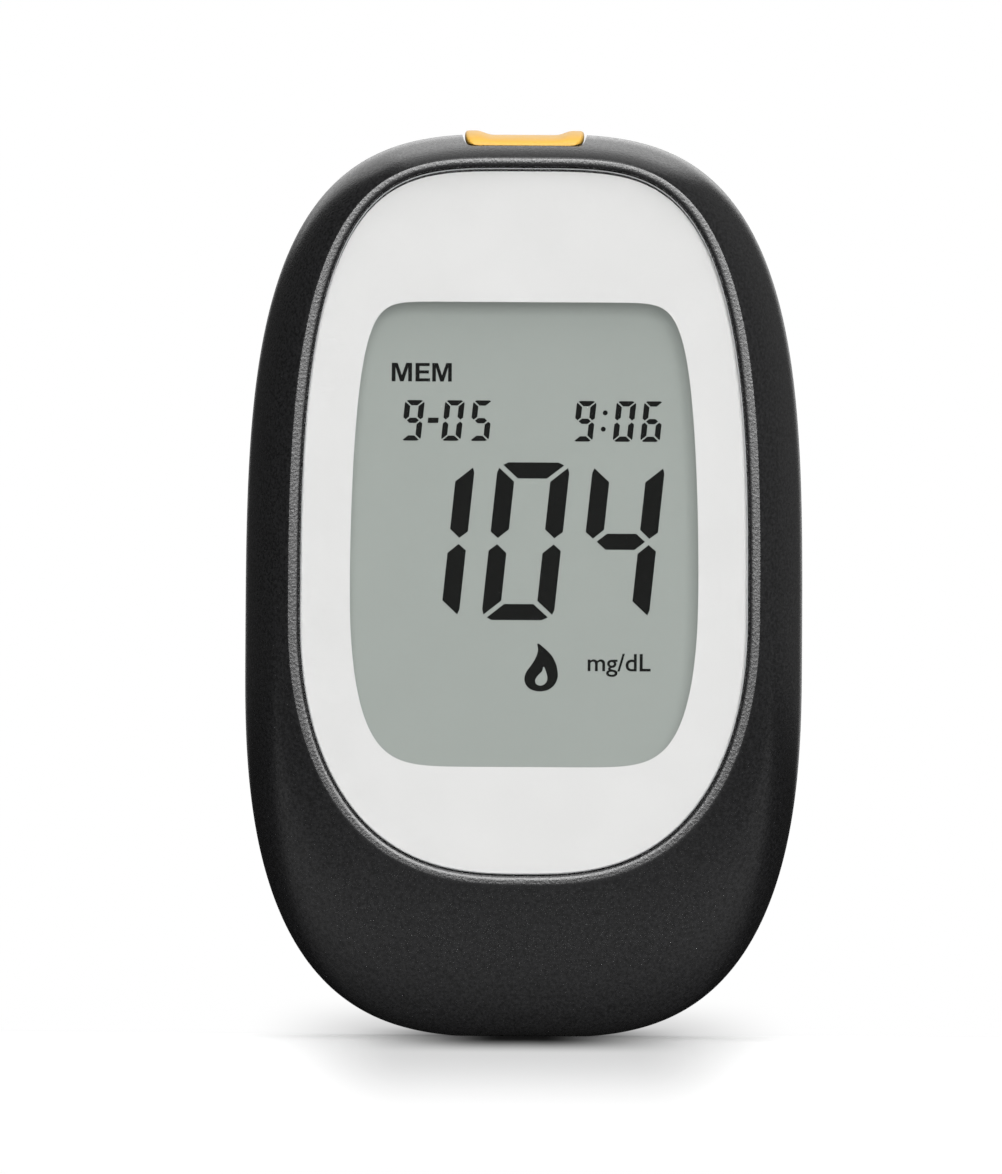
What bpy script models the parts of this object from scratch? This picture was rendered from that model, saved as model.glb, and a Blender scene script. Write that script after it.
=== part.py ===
"""Blood glucose meter, modelled as the assembly that it comes apart into.

The meter stands on its lower end. X runs across it, Z up it and Y through it, with the face on the -Y side.
The origin is under its middle, on the surface that it stands on. A depth is measured backwards from the
crest of the lip round the face. Outlines lie in the XZ plane.
"""

import math

import bmesh
import bpy
import numpy as np

MM = 0.001

# Whole body: outline, depth and the gap that touching pieces keep
BODY_WIDTH = 53.0 * MM
BODY_HEIGHT = 85.9 * MM
BODY_WIDEST_SHARE = 0.415
PARTING_OVERLAP = 0.1 * MM
BACK_EDGE_RADIUS = 6.5 * MM
FOOT_CUT = 0.15 * MM
CLEARANCE = 0.3 * MM
OVERRUN = 1.0 * MM

# Exponents of the egg outlines: upper height, upper width, lower height, lower width
BODY_ROUNDNESS = (3.5, 3.25, 2.6, 3.15)
FACE_ROUNDNESS = (2.97, 3.98, 2.19, 2.75)
WINDOW_ROUNDNESS = (1.87, 13.7, 2.27, 7.3)

# Housing walls and the half-lap between the two shells
WALL = 1.8 * MM
LAP_LIP = 0.75 * MM
LAP_DEPTH = 1.0 * MM
PARTING_CHAMFER = 0.25 * MM
PARTING_GAP = 0.3 * MM

# White face, clear lens over it and lip round it
FACE_SIDE_BORDER = 5.35 * MM
FACE_TOP_BORDER = 3.85 * MM
FACE_BOTTOM = 15.7 * MM
FACE_WIDEST_SHARE = 0.365
LENS_MARGIN = 0.3 * MM
LIP_WIDTH = 0.5 * MM
LENS_RECESS = 0.6 * MM
LENS_THICKNESS = 1.2 * MM
LENS_BEVEL = 0.25 * MM
FILM_THICKNESS = 0.25 * MM
ADHESIVE_THICKNESS = 0.25 * MM
ADHESIVE_INSET = 0.5 * MM
LEDGE_THICKNESS = 1.1 * MM

# Display window
WINDOW_SIDE_BORDER = 4.6 * MM
WINDOW_TOP_BORDER = 12.25 * MM
WINDOW_BOTTOM_BORDER = 9.95 * MM
WINDOW_WIDEST_SHARE = 0.39
LEDGE_SETBACK = 0.8 * MM

# Display, its holder and the elastomer strips that connect it
LCD_SIDE_MARGIN = 1.4 * MM
LCD_END_MARGIN = 2.4 * MM
LCD_THICKNESS = 1.7 * MM
LCD_CORNER_RADIUS = 0.6 * MM
HOLDER_WALL = 1.3 * MM
HOLDER_REST = 3.2 * MM
HOLDER_CORNER_RADIUS = 2.2 * MM
ZEBRA_WIDTH = 1.6 * MM
ZEBRA_HEIGHT = 1.6 * MM
ZEBRA_END_INSET = 3.0 * MM

# Circuit board
BOARD_THICKNESS = 1.0 * MM
BOARD_GAP = 0.6 * MM

# Strip port: a funnel let into the top end, with two ears and a saddle between them
PORT_WIDTH = 11.2 * MM
PORT_LIP_DROP = 1.2 * MM
PORT_EAR_RISE = 0.3 * MM
PORT_SADDLE_DROP = 0.1 * MM
PORT_EAR_WIDTH = 1.3 * MM
PORT_EAR_INSET = 0.3 * MM
PORT_SADDLE_WIDTH = 7.4 * MM
PORT_CORNER_RADIUS = 1.1 * MM
PORT_FRONT_SETBACK = 1.0 * MM
PORT_WALL = 1.0 * MM
PORT_BODY_LENGTH = 7.9 * MM
PORT_REAR_MARGIN = 0.8 * MM
PORT_FLANGE_PROUD = 1.6 * MM
PORT_FLANGE_THICKNESS = 1.8 * MM
PORT_FLANGE_DROP = 5.3 * MM
PORT_FLANGE_MARGIN = 1.2 * MM
PORT_MOUTH_WIDTH = 8.2 * MM
PORT_MOUTH_THICKNESS = 2.4 * MM
PORT_MOUTH_DEPTH = 2.0 * MM

# Test strip: 6.8 mm wide in life, so its slot is a little wider
SLOT_WIDTH = 7.2 * MM
SLOT_THICKNESS = 1.0 * MM

# Strip connector and its three contacts
CONNECTOR_WIDTH = 10.4 * MM
CONNECTOR_HEIGHT = 7.4 * MM
CONNECTOR_THICKNESS = 3.3 * MM
CONNECTOR_SLOT_OFFSET = 1.1 * MM
CONTACT_PITCH = 1.8 * MM
CONTACT_WIDTH = 0.7 * MM
CONTACT_THICKNESS = 0.2 * MM
CONTACT_GROOVE = 0.8 * MM
CONTACT_FOOT = 1.1 * MM
CONTACT_BUMP = 0.25 * MM

# Coin cell (a 20 mm by 3.2 mm standard size), its pocket and its contacts
CELL_RADIUS = 10.0 * MM
CELL_THICKNESS = 3.2 * MM
CELL_STEP_RADIUS = 8.9 * MM
CELL_STEP = 0.5 * MM
CELL_BEVEL = 0.3 * MM
POCKET_FLOOR_THICKNESS = 0.9 * MM
POCKET_STANDOFF = 0.8 * MM
CELL_STANDOFF = 0.5 * MM
CELL_DOOR_GAP = 1.0 * MM
CELL_CONTACT_THICKNESS = 0.2 * MM
CELL_CONTACT_WIDTH = 4.0 * MM
CELL_CONTACT_REACH = 5.5 * MM
CELL_CONTACT_FOOT = 2.0 * MM
SIDE_CONTACT_HEIGHT = 4.2 * MM
FINGER_NOTCH_RADIUS = 4.0 * MM
FINGER_NOTCH_FLOOR = 2.2 * MM

# Battery door: two hooks at its lower edge, a latch tongue at its upper edge
DOOR_BOTTOM = 8.8 * MM
DOOR_THICKNESS = 1.5 * MM
DOOR_SEAT = 1.6 * MM
DOOR_CORNER_RADIUS = 3.6 * MM
DOOR_EDGE_BEVEL = 0.2 * MM
DOOR_KEY_ROOM = 6.6 * MM
TUB_WALL = 1.1 * MM
HOOK_WIDTH = 3.0 * MM
HOOK_INSET = 3.4 * MM
HOOK_THICKNESS = 1.0 * MM
HOOK_REACH = 1.8 * MM
HOOK_ROOT = 1.2 * MM
LATCH_WIDTH = 6.6 * MM
LATCH_LENGTH = 5.0 * MM
LATCH_SLIT = 0.6 * MM
LATCH_NOSE_WIDTH = 5.2 * MM
LATCH_NOSE_REACH = 0.7 * MM
LATCH_NOSE_THICKNESS = 0.6 * MM
LATCH_ROOT = 1.1 * MM
NAIL_SCOOP_RADIUS = 5.2 * MM
NAIL_SCOOP_DEPTH = 0.9 * MM
GRIP_GROOVE_WIDTH = 8.0 * MM
GRIP_GROOVE_HEIGHT = 0.6 * MM
GRIP_GROOVE_DEPTH = 0.35 * MM
GRIP_GROOVE_PITCH = 1.5 * MM
GRIP_GROOVES = 3
DOOR_RIB_SPACING = 9.0 * MM
DOOR_RIB_WIDTH = 1.0 * MM
DOOR_RIB_LENGTH = 11.0 * MM

# Main key, on the back over its switch
MAIN_KEY_ROOM_SHARE = 0.266
MAIN_KEY_RECESS = 0.35 * MM
MAIN_KEY_DISH = 0.35 * MM
MAIN_KEY_HALFWAY_DISH_SHARE = 0.7
MAIN_KEY_EDGE = 0.4 * MM
MAIN_KEY_FLANGE = 1.0 * MM
MAIN_KEY_FLANGE_THICKNESS = 0.7 * MM
MAIN_KEY_STEM_RADIUS = 1.5 * MM
KEY_DISH_MARGIN = 1.6 * MM
KEY_DISH_DEPTH = 0.5 * MM

# Set key, under the battery door, above the cell
SET_KEY_RADIUS = 1.6 * MM
SET_KEY_SPACING = 3.4 * MM
SET_KEY_HEAD = 0.7 * MM
SET_KEY_FLANGE = 0.7 * MM
SET_KEY_FLANGE_THICKNESS = 0.5 * MM
SET_WELL_WIDTH = 11.0 * MM
SET_WELL_HEIGHT = 5.8 * MM
SET_WELL_DEPTH = 2.8 * MM
SET_WELL_FLOOR_THICKNESS = 1.0 * MM

# Tactile switches under the keys
SWITCH_SIZE = 4.6 * MM
SWITCH_HEIGHT = 1.8 * MM
SWITCH_BASE = 0.25 * MM
SWITCH_TRAVEL = 0.4 * MM
PLUNGER_RADIUS = 1.1 * MM

# Strip ejector: a knob on the back, its carriage with a two-pronged fork, and a return spring
EJECT_TRAVEL = 5.0 * MM
KNOB_WIDTH = 10.4 * MM
KNOB_HEIGHT = 7.4 * MM
KNOB_THICKNESS = 0.9 * MM
KNOB_CORNER_RADIUS = 1.6 * MM
KNOB_EDGE_BEVEL = 0.2 * MM
KNOB_RIDGES = 4
KNOB_RIDGE_PITCH = 1.5 * MM
KNOB_RIDGE_HEIGHT = 0.7 * MM
KNOB_RIDGE_DEPTH = 0.35 * MM
TRACK_DEPTH = 1.3 * MM
TRACK_PAD_THICKNESS = 1.1 * MM
TRACK_PAD_MARGIN = 1.2 * MM
NECK_WIDTH = 3.0 * MM
NECK_HEIGHT = 3.4 * MM
CARRIAGE_WIDTH = 9.0 * MM
CARRIAGE_THICKNESS = 1.0 * MM
CARRIAGE_HEIGHT = 10.5 * MM
FORK_ARM_HEIGHT = 2.0 * MM
PRONG_WIDTH = 0.7 * MM
PRONG_THICKNESS = 0.5 * MM
SPRING_RADIUS = 0.62 * MM
SPRING_WIRE_RADIUS = 0.13 * MM
SPRING_TURNS = 8
SPRING_LENGTH = 7.4 * MM
SPRING_RIB_THICKNESS = 1.2 * MM
SPRING_RIB_WIDTH = 4.0 * MM

# Case screws, self-tapping, and the posts and bosses that they run through
SCREW_RADIUS = 0.95 * MM
SCREW_HEAD_RADIUS = 1.75 * MM
SCREW_HEAD_HEIGHT = 1.1 * MM
SCREW_LENGTH = 7.6 * MM
SCREW_SINK = 3.4 * MM
SCREW_CROSS_WIDTH = 0.45 * MM
SCREW_CROSS_LENGTH = 2.0 * MM
SCREW_CROSS_DEPTH = 0.6 * MM
POST_RADIUS = 2.6 * MM
BOSS_RADIUS = 2.3 * MM
LOWER_SCREW_HEIGHT = 13.5 * MM
UPPER_SCREW_SPACING = 27.0 * MM

# Parts on the back of the board: across, height up the board, and size
CHIP_THICKNESS = 1.1 * MM
PROCESSOR_SIZE = 10.0 * MM
PROCESSOR_X = -13.4 * MM
AMPLIFIER_WIDTH = 5.2 * MM
AMPLIFIER_HEIGHT = 4.0 * MM
AMPLIFIER_X = 12.4 * MM
MEMORY_WIDTH = 5.0 * MM
MEMORY_HEIGHT = 4.4 * MM
MEMORY_X = 13.0 * MM
CRYSTAL_RADIUS = 1.0 * MM
CRYSTAL_LENGTH = 6.2 * MM
CRYSTAL_X = 13.0 * MM
CAPACITOR_RADIUS = 2.0 * MM
CAPACITOR_HEIGHT = 4.2 * MM
CAPACITOR_X = 16.6 * MM
BUZZER_RADIUS = 5.0 * MM
BUZZER_HEIGHT = 3.0 * MM
BUZZER_HOLE_RADIUS = 0.8 * MM
BUZZER_HOLE_DEPTH = 1.5 * MM
BUZZER_X = -13.4 * MM
SENSOR_WIDTH = 1.6 * MM
SENSOR_HEIGHT = 0.9 * MM
SENSOR_THICKNESS = 0.6 * MM
SENSOR_X = 8.4 * MM
BUZZER_SPACING = 2.2 * MM

# Fineness of curves
OUTLINE_POINT_COUNT = 96
CURVE_SAMPLE_COUNT = 1500
SHELL_RING_COUNT = 6
CORNER_STEP_COUNT = 4
LARGE_ROUND_SIDE_COUNT = 64
ROUND_SIDE_COUNT = 32
SMALL_ROUND_SIDE_COUNT = 16
SPRING_TURN_POINT_COUNT = 9
QUARTER_TURN = math.pi / 2
SMOOTH_ANGLE = math.radians(35.0)
MERGE_DISTANCE = 0.001 * MM

# Stack through the thickness, as depths from the crest of the lip
FILM_DEPTH = LENS_RECESS + LENS_THICKNESS + CLEARANCE
ADHESIVE_DEPTH = FILM_DEPTH + FILM_THICKNESS + CLEARANCE
LEDGE_DEPTH = ADHESIVE_DEPTH + ADHESIVE_THICKNESS + CLEARANCE
CAVITY_DEPTH = LEDGE_DEPTH + LEDGE_THICKNESS
LCD_DEPTH = CAVITY_DEPTH + CLEARANCE
LCD_BACK = LCD_DEPTH + LCD_THICKNESS
ZEBRA_DEPTH = LCD_BACK + CLEARANCE
HOLDER_DEPTH = LCD_DEPTH + CLEARANCE
HOLDER_BACK = ZEBRA_DEPTH + ZEBRA_HEIGHT
BOARD_DEPTH = HOLDER_BACK + CLEARANCE
BOARD_BACK = BOARD_DEPTH + BOARD_THICKNESS
MOUNTED_DEPTH = BOARD_BACK + CLEARANCE
TUB_DEPTH = BOARD_BACK + POCKET_STANDOFF
POCKET_FLOOR = TUB_DEPTH + POCKET_FLOOR_THICKNESS
CELL_DEPTH = POCKET_FLOOR + CELL_STANDOFF
DOOR_INNER = CELL_DEPTH + CELL_THICKNESS + CELL_DOOR_GAP
BODY_DEPTH = DOOR_INNER + DOOR_THICKNESS
FRONT_Y = -BODY_DEPTH / 2
PARTING_DEPTH = BOARD_DEPTH - PARTING_OVERLAP
WALL_INNER = BODY_DEPTH - WALL
SEAT_DEPTH = DOOR_INNER - CLEARANCE
FRONT_DROP = PARTING_DEPTH
BACK_DROP = BODY_DEPTH - PARTING_DEPTH

# Outlines' extents
BODY_HALF = BODY_WIDTH / 2
BODY_WIDEST_HEIGHT = BODY_HEIGHT * BODY_WIDEST_SHARE
FACE_HALF = BODY_HALF - FACE_SIDE_BORDER
FACE_TOP = BODY_HEIGHT - FACE_TOP_BORDER
FACE_WIDEST_HEIGHT = FACE_BOTTOM + (FACE_TOP - FACE_BOTTOM) * FACE_WIDEST_SHARE
WINDOW_HALF = FACE_HALF - WINDOW_SIDE_BORDER
WINDOW_TOP = FACE_TOP - WINDOW_TOP_BORDER
WINDOW_BOTTOM = FACE_BOTTOM + WINDOW_BOTTOM_BORDER
WINDOW_WIDEST_HEIGHT = WINDOW_BOTTOM + (WINDOW_TOP - WINDOW_BOTTOM) * WINDOW_WIDEST_SHARE
LCD_HALF = WINDOW_HALF + LCD_SIDE_MARGIN
LCD_TOP = WINDOW_TOP + LCD_END_MARGIN
LCD_BOTTOM = WINDOW_BOTTOM - LCD_END_MARGIN
HOLDER_HALF = LCD_HALF + CLEARANCE + HOLDER_WALL
HOLDER_TOP = LCD_TOP + CLEARANCE + HOLDER_WALL
HOLDER_BOTTOM = LCD_BOTTOM - CLEARANCE - HOLDER_WALL

# Places down from the top end: port, connector, ejector
PORT_LIP_HEIGHT = BODY_HEIGHT - PORT_LIP_DROP
PORT_EAR_HEIGHT = BODY_HEIGHT + PORT_EAR_RISE
PORT_SADDLE_HEIGHT = BODY_HEIGHT - PORT_SADDLE_DROP
PORT_FLANGE_HEIGHT = PORT_LIP_HEIGHT - PORT_FLANGE_DROP
CONNECTOR_TOP = PORT_LIP_HEIGHT - PORT_BODY_LENGTH - CLEARANCE
CONNECTOR_BOTTOM = CONNECTOR_TOP - CONNECTOR_HEIGHT
CARRIAGE_BOTTOM = CONNECTOR_BOTTOM - FORK_ARM_HEIGHT * 2 - EJECT_TRAVEL
CARRIAGE_TOP = CARRIAGE_BOTTOM + CARRIAGE_HEIGHT
SPRING_BOTTOM = CARRIAGE_TOP + CLEARANCE
SPRING_TOP = SPRING_BOTTOM + SPRING_LENGTH
SPRING_RIB_BOTTOM = SPRING_TOP + CLEARANCE
KNOB_BOTTOM = CARRIAGE_BOTTOM - CLEARANCE
NECK_BOTTOM = KNOB_BOTTOM + (KNOB_HEIGHT - NECK_HEIGHT) / 2
TRACK_BOTTOM = KNOB_BOTTOM - CLEARANCE
TRACK_TOP = KNOB_BOTTOM + KNOB_HEIGHT + EJECT_TRAVEL + CLEARANCE
CONNECTOR_BACK = MOUNTED_DEPTH + CONNECTOR_THICKNESS
SLOT_DEPTH = MOUNTED_DEPTH + CONNECTOR_SLOT_OFFSET
SLOT_BACK = SLOT_DEPTH + SLOT_THICKNESS
CARRIAGE_DEPTH = CONNECTOR_BACK + CLEARANCE
CARRIAGE_BACK = CARRIAGE_DEPTH + CARRIAGE_THICKNESS
TRACK_FLOOR = BODY_DEPTH - TRACK_DEPTH
TRACK_PAD_DEPTH = TRACK_FLOOR - TRACK_PAD_THICKNESS
PORT_BODY_FRONT = CAVITY_DEPTH + CLEARANCE * 2
PORT_BODY_BACK = SLOT_BACK + PORT_WALL
PORT_REAR_DEPTH = PORT_BODY_BACK + PORT_REAR_MARGIN

# Places up from the lower end: battery pocket, set key, and the main key between them and the ejector
POCKET_RADIUS = CELL_RADIUS + CLEARANCE
CELL_Z = DOOR_BOTTOM + DOOR_SEAT + POCKET_RADIUS
DOOR_HALF = POCKET_RADIUS + DOOR_SEAT
DOOR_TOP = CELL_Z + POCKET_RADIUS + DOOR_KEY_ROOM + DOOR_SEAT
SET_KEY_Z = CELL_Z + POCKET_RADIUS + SET_KEY_SPACING
MAIN_KEY_Z = (DOOR_TOP + TRACK_BOTTOM) / 2
MAIN_KEY_RADIUS = (TRACK_BOTTOM - DOOR_TOP) * MAIN_KEY_ROOM_SHARE
KEY_DISH_RADIUS = MAIN_KEY_RADIUS + KEY_DISH_MARGIN
SET_WELL_FLOOR_DEPTH = BODY_DEPTH - SET_WELL_DEPTH
SET_WELL_INNER = SET_WELL_FLOOR_DEPTH - SET_WELL_FLOOR_THICKNESS

# Screw places: beside the battery pocket, and over the display's upper corners
LOWER_SCREW_X = DOOR_HALF + CLEARANCE + TUB_WALL + POST_RADIUS
UPPER_SCREW_X = UPPER_SCREW_SPACING / 2
UPPER_SCREW_HEIGHT = HOLDER_TOP + CLEARANCE + BOSS_RADIUS
SCREW_HEAD_DEPTH = BODY_DEPTH - SCREW_SINK
SCREW_PLACES = {
    "case_screw_lower_left": (-LOWER_SCREW_X, LOWER_SCREW_HEIGHT),
    "case_screw_lower_right": (LOWER_SCREW_X, LOWER_SCREW_HEIGHT),
    "case_screw_upper_left": (-UPPER_SCREW_X, UPPER_SCREW_HEIGHT),
    "case_screw_upper_right": (UPPER_SCREW_X, UPPER_SCREW_HEIGHT),
}
SCREW_SEAT_DEPTH = SCREW_HEAD_DEPTH - SCREW_HEAD_HEIGHT - CLEARANCE
SCREW_TIP_DEPTH = SCREW_HEAD_DEPTH - SCREW_HEAD_HEIGHT - SCREW_LENGTH

# Finishes: colour as seen, roughness, metallic, alpha
FINISHES = {
    "black_housing": ("#2A2A2B", 0.55, 0.0, 1.0),
    "clear_lens": ("#FFFFFF", 0.05, 0.0, 0.25),
    "white_print": ("#ECECE8", 0.35, 0.0, 1.0),
    "clear_adhesive": ("#D8D8D0", 0.4, 0.0, 1.0),
    "yellow_plastic": ("#F5CB7A", 0.4, 0.0, 1.0),
    "display_glass": ("#A7AEA9", 0.15, 0.0, 1.0),
    "white_frame": ("#E2E2DC", 0.5, 0.0, 1.0),
    "zebra_rubber": ("#8A8C92", 0.8, 0.0, 1.0),
    "board_laminate": ("#1F5A38", 0.45, 0.0, 1.0),
    "chip_epoxy": ("#1B1B1D", 0.5, 0.0, 1.0),
    "black_plastic": ("#202022", 0.5, 0.0, 1.0),
    "gold_contact": ("#D9B35A", 0.3, 1.0, 1.0),
    "spring_steel": ("#B9BBBE", 0.3, 1.0, 1.0),
    "cell_steel": ("#C9CBCC", 0.25, 1.0, 1.0),
    "key_plastic": ("#3A3A3C", 0.5, 0.0, 1.0),
    "natural_nylon": ("#DAD7CC", 0.5, 0.0, 1.0),
    "screw_steel": ("#8F9194", 0.35, 1.0, 1.0),
}


def clear_scene():
    for old in list(bpy.data.objects):
        bpy.data.objects.remove(old)


def new_collection(name):
    collection = bpy.data.collections.new(name)
    bpy.context.scene.collection.children.link(collection)
    return collection


clear_scene()
PARTS = new_collection("blood_glucose_meter")
CUTTERS = new_collection("cutters")
CUTTERS.hide_render = True


def linear(hex_colour):
    """The colour as written, turned from sRGB to the linear values that a shader takes."""
    channels = [int(hex_colour[i : i + 2], 16) / 255 for i in (1, 3, 5)]
    return [c / 12.92 if c <= 0.04045 else ((c + 0.055) / 1.055) ** 2.4 for c in channels]


def finish(name):
    """The named finish as a material, made once."""
    material = bpy.data.materials.get(name)
    if material is None:
        colour, roughness, metallic, alpha = FINISHES[name]
        material = bpy.data.materials.new(name)
        material.use_nodes = True
        shader = material.node_tree.nodes["Principled BSDF"]
        shader.inputs["Base Color"].default_value = (*linear(colour), 1.0)
        shader.inputs["Roughness"].default_value = roughness
        shader.inputs["Metallic"].default_value = metallic
        shader.inputs["Alpha"].default_value = alpha
    return material


def y_at(depth):
    return FRONT_Y + depth


# Outlines in the XZ plane, as closed loops of points that run clockwise seen from the front


def egg(half_width, top, bottom, widest, roundness):
    """Two half superellipses that meet at the widest height, with points evenly spaced along the curve."""
    upper_z, upper_x, lower_z, lower_x = roundness
    turn = np.linspace(QUARTER_TURN, 0, CURVE_SAMPLE_COUNT)
    upper_half = np.column_stack(
        [
            half_width * np.clip(np.cos(turn), 0, 1) ** (2 / upper_x),
            widest + (top - widest) * np.sin(turn) ** (2 / upper_z),
        ]
    )
    lower_half = np.column_stack(
        [
            half_width * np.clip(np.cos(turn[::-1]), 0, 1) ** (2 / lower_x),
            widest - (widest - bottom) * np.sin(turn[::-1]) ** (2 / lower_z),
        ]
    )
    side = np.vstack([upper_half, lower_half[1:]])
    side[0, 0] = side[-1, 0] = 0
    steps = np.linalg.norm(np.diff(side, axis=0), axis=1)
    along = np.concatenate([[0], np.cumsum(steps)])
    wanted = np.linspace(0, along[-1], OUTLINE_POINT_COUNT // 2 + 1)
    right = np.column_stack([np.interp(wanted, along, side[:, k]) for k in (0, 1)])
    left = right[-2:0:-1] * (-1, 1)
    return np.vstack([right, left])


def offset(outline, distance):
    """The outline moved outwards along its own normals, or inwards where the distance is negative."""
    tangent = np.roll(outline, -1, axis=0) - np.roll(outline, 1, axis=0)
    tangent /= np.linalg.norm(tangent, axis=1)[:, None]
    normal = np.column_stack([-tangent[:, 1], tangent[:, 0]])
    return outline + distance * normal


def rounded_rectangle(half_width, bottom, top, radius, x=0.0):
    corners = (
        (half_width - radius, top - radius, 1),
        (half_width - radius, bottom + radius, 0),
        (radius - half_width, bottom + radius, -1),
        (radius - half_width, top - radius, -2),
    )
    points = []
    for centre_x, centre_z, quarters in corners:
        for step in range(CORNER_STEP_COUNT + 1):
            angle = QUARTER_TURN * (quarters - step / CORNER_STEP_COUNT)
            points.append(
                (
                    x + centre_x + radius * math.cos(angle),
                    centre_z + radius * math.sin(angle),
                )
            )
    return np.array(points)


BODY = egg(BODY_HALF, BODY_HEIGHT, -FOOT_CUT, BODY_WIDEST_HEIGHT, BODY_ROUNDNESS)
FACE = egg(FACE_HALF, FACE_TOP, FACE_BOTTOM, FACE_WIDEST_HEIGHT, FACE_ROUNDNESS)
WINDOW = egg(WINDOW_HALF, WINDOW_TOP, WINDOW_BOTTOM, WINDOW_WIDEST_HEIGHT, WINDOW_ROUNDNESS)
LENS = offset(FACE, LENS_MARGIN)
LENS_POCKET = offset(LENS, CLEARANCE)
LIP = offset(LENS_POCKET, LIP_WIDTH)
DOOR = rounded_rectangle(DOOR_HALF, DOOR_BOTTOM, DOOR_TOP, DOOR_CORNER_RADIUS)


# Solids


def add_mesh(name, mesh, material=None):
    """Puts a mesh in the parts, or among the cutters where it has no finish."""
    obj = bpy.data.objects.new(name, mesh)
    if material is None:
        CUTTERS.objects.link(obj)
        obj.hide_render = True
        obj.display_type = "WIRE"
    else:
        PARTS.objects.link(obj)
        mesh.materials.clear()
        mesh.materials.append(finish(material))
    return obj


def prism(name, outlines, front, back, material=None, across=False):
    """A flat outline, with any holes in it, extruded from one depth to another.

    With across, the outline holds depths and heights, and it is extruded along X instead.
    """
    curve = bpy.data.curves.new(name, "CURVE")
    curve.dimensions = "2D"
    curve.fill_mode = "BOTH"
    curve.extrude = abs(back - front) / 2
    for outline in outlines:
        spline = curve.splines.new("POLY")
        spline.points.add(len(outline) - 1)
        for point, (first, second) in zip(spline.points, outline):
            point.co = (y_at(first) if across else first, second, 0, 1)
        spline.use_cyclic_u = True
    shape = bpy.data.objects.new(name, curve)
    CUTTERS.objects.link(shape)
    middle = (front + back) / 2
    if across:
        shape.rotation_euler = (QUARTER_TURN, 0, QUARTER_TURN)
        shape.location.x = middle
    else:
        shape.rotation_euler.x = QUARTER_TURN
        shape.location.y = y_at(middle)
    return as_mesh(shape, name, material)


def as_mesh(shape, name, material):
    """The evaluated shape as a welded mesh object in world space; the shape itself is removed."""
    bpy.context.view_layer.update()
    graph = bpy.context.evaluated_depsgraph_get()
    mesh = bpy.data.meshes.new_from_object(shape.evaluated_get(graph))
    mesh.transform(shape.matrix_world)
    bpy.data.objects.remove(shape)
    solid = bmesh.new()
    solid.from_mesh(mesh)
    bmesh.ops.remove_doubles(solid, verts=solid.verts, dist=MERGE_DISTANCE)
    bmesh.ops.recalc_face_normals(solid, faces=solid.faces)
    solid.to_mesh(mesh)
    solid.free()
    return add_mesh(name, mesh, material)


def box(name, x_range, depth_range, z_range, material=None):
    solid = bmesh.new()
    bmesh.ops.create_cube(solid, size=1)
    low = (x_range[0], y_at(depth_range[0]), z_range[0])
    high = (x_range[1], y_at(depth_range[1]), z_range[1])
    for corner in solid.verts:
        corner.co = [b if c > 0 else a for a, b, c in zip(low, high, corner.co)]
    mesh = bpy.data.meshes.new(name)
    solid.to_mesh(mesh)
    solid.free()
    return add_mesh(name, mesh, material)


def cylinder(name, x, z, radius, depth_range, material=None, sides=SMALL_ROUND_SIDE_COUNT):
    """A round pin or hole that runs through the thickness."""
    front, back = depth_range
    solid = bmesh.new()
    bmesh.ops.create_cone(
        solid,
        cap_ends=True,
        segments=sides,
        radius1=radius,
        radius2=radius,
        depth=back - front,
    )
    mesh = bpy.data.meshes.new(name)
    solid.to_mesh(mesh)
    solid.free()
    for corner in mesh.vertices:
        across, up, along = corner.co
        corner.co = (x + across, y_at((front + back) / 2) - along, z + up)
    return add_mesh(name, mesh, material)


def loft(name, rings, material=None):
    """A closed solid through outlines of equal point counts, each with its depth, capped at both ends."""
    count = len(rings[0][0])
    points = [(x, y_at(depth), z) for outline, depth in rings for x, z in outline]
    faces = [range(count)]
    for ring in range(len(rings) - 1):
        for i in range(count):
            here, beside = ring * count + i, ring * count + (i + 1) % count
            faces.append((here, here + count, beside + count, beside))
    faces.append(range((len(rings) - 1) * count, len(rings) * count)[::-1])
    mesh = bpy.data.meshes.new(name)
    mesh.from_pydata(points, [], faces)
    solid = bmesh.new()
    solid.from_mesh(mesh)
    bmesh.ops.recalc_face_normals(solid, faces=solid.faces)
    solid.to_mesh(mesh)
    solid.free()
    return add_mesh(name, mesh, material)


def turned(name, x, z, profile, material=None, sides=ROUND_SIDE_COUNT):
    """A profile of radii and depths, from back to front, turned about an axis through the thickness."""
    mesh = bpy.data.meshes.new(name)
    points = [(radius, -depth, 0) for radius, depth in profile]
    mesh.from_pydata(points, [(i, i + 1) for i in range(len(points) - 1)], [])
    shape = bpy.data.objects.new(name, mesh)
    CUTTERS.objects.link(shape)
    screw = shape.modifiers.new("turn", "SCREW")
    screw.axis = "Y"
    screw.steps = screw.render_steps = sides
    screw.use_merge_vertices = True
    screw.merge_threshold = MERGE_DISTANCE
    shape.rotation_euler.x = math.pi
    shape.location = (x, FRONT_Y, z)
    return as_mesh(shape, name, material)


def modify(target, tool, operation):
    change = target.modifiers.new(tool.name, "BOOLEAN")
    change.object = tool
    change.operation = operation
    change.solver = "EXACT"
    return target


def cut(target, *tools):
    for tool in tools:
        modify(target, tool, "DIFFERENCE")
    return target


def join(target, *tools):
    for tool in tools:
        modify(target, tool, "UNION")
    return target


def soften(obj, width):
    """A small chamfer on the sharp edges."""
    bevel = obj.modifiers.new("edge", "BEVEL")
    bevel.width = width
    bevel.segments = 1
    bevel.limit_method = "ANGLE"
    bevel.angle_limit = SMOOTH_ANGLE
    return obj


def move_origin(obj, x, depth, z):
    """Puts the object's origin on its joint's axis, with the shape where it was."""
    place = np.array([x, y_at(depth), z])
    for corner in obj.data.vertices:
        corner.co = np.array(corner.co) - place
    obj.location = place
    return obj


def mirrored(value):
    return (-value, value)


# Housing


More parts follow.
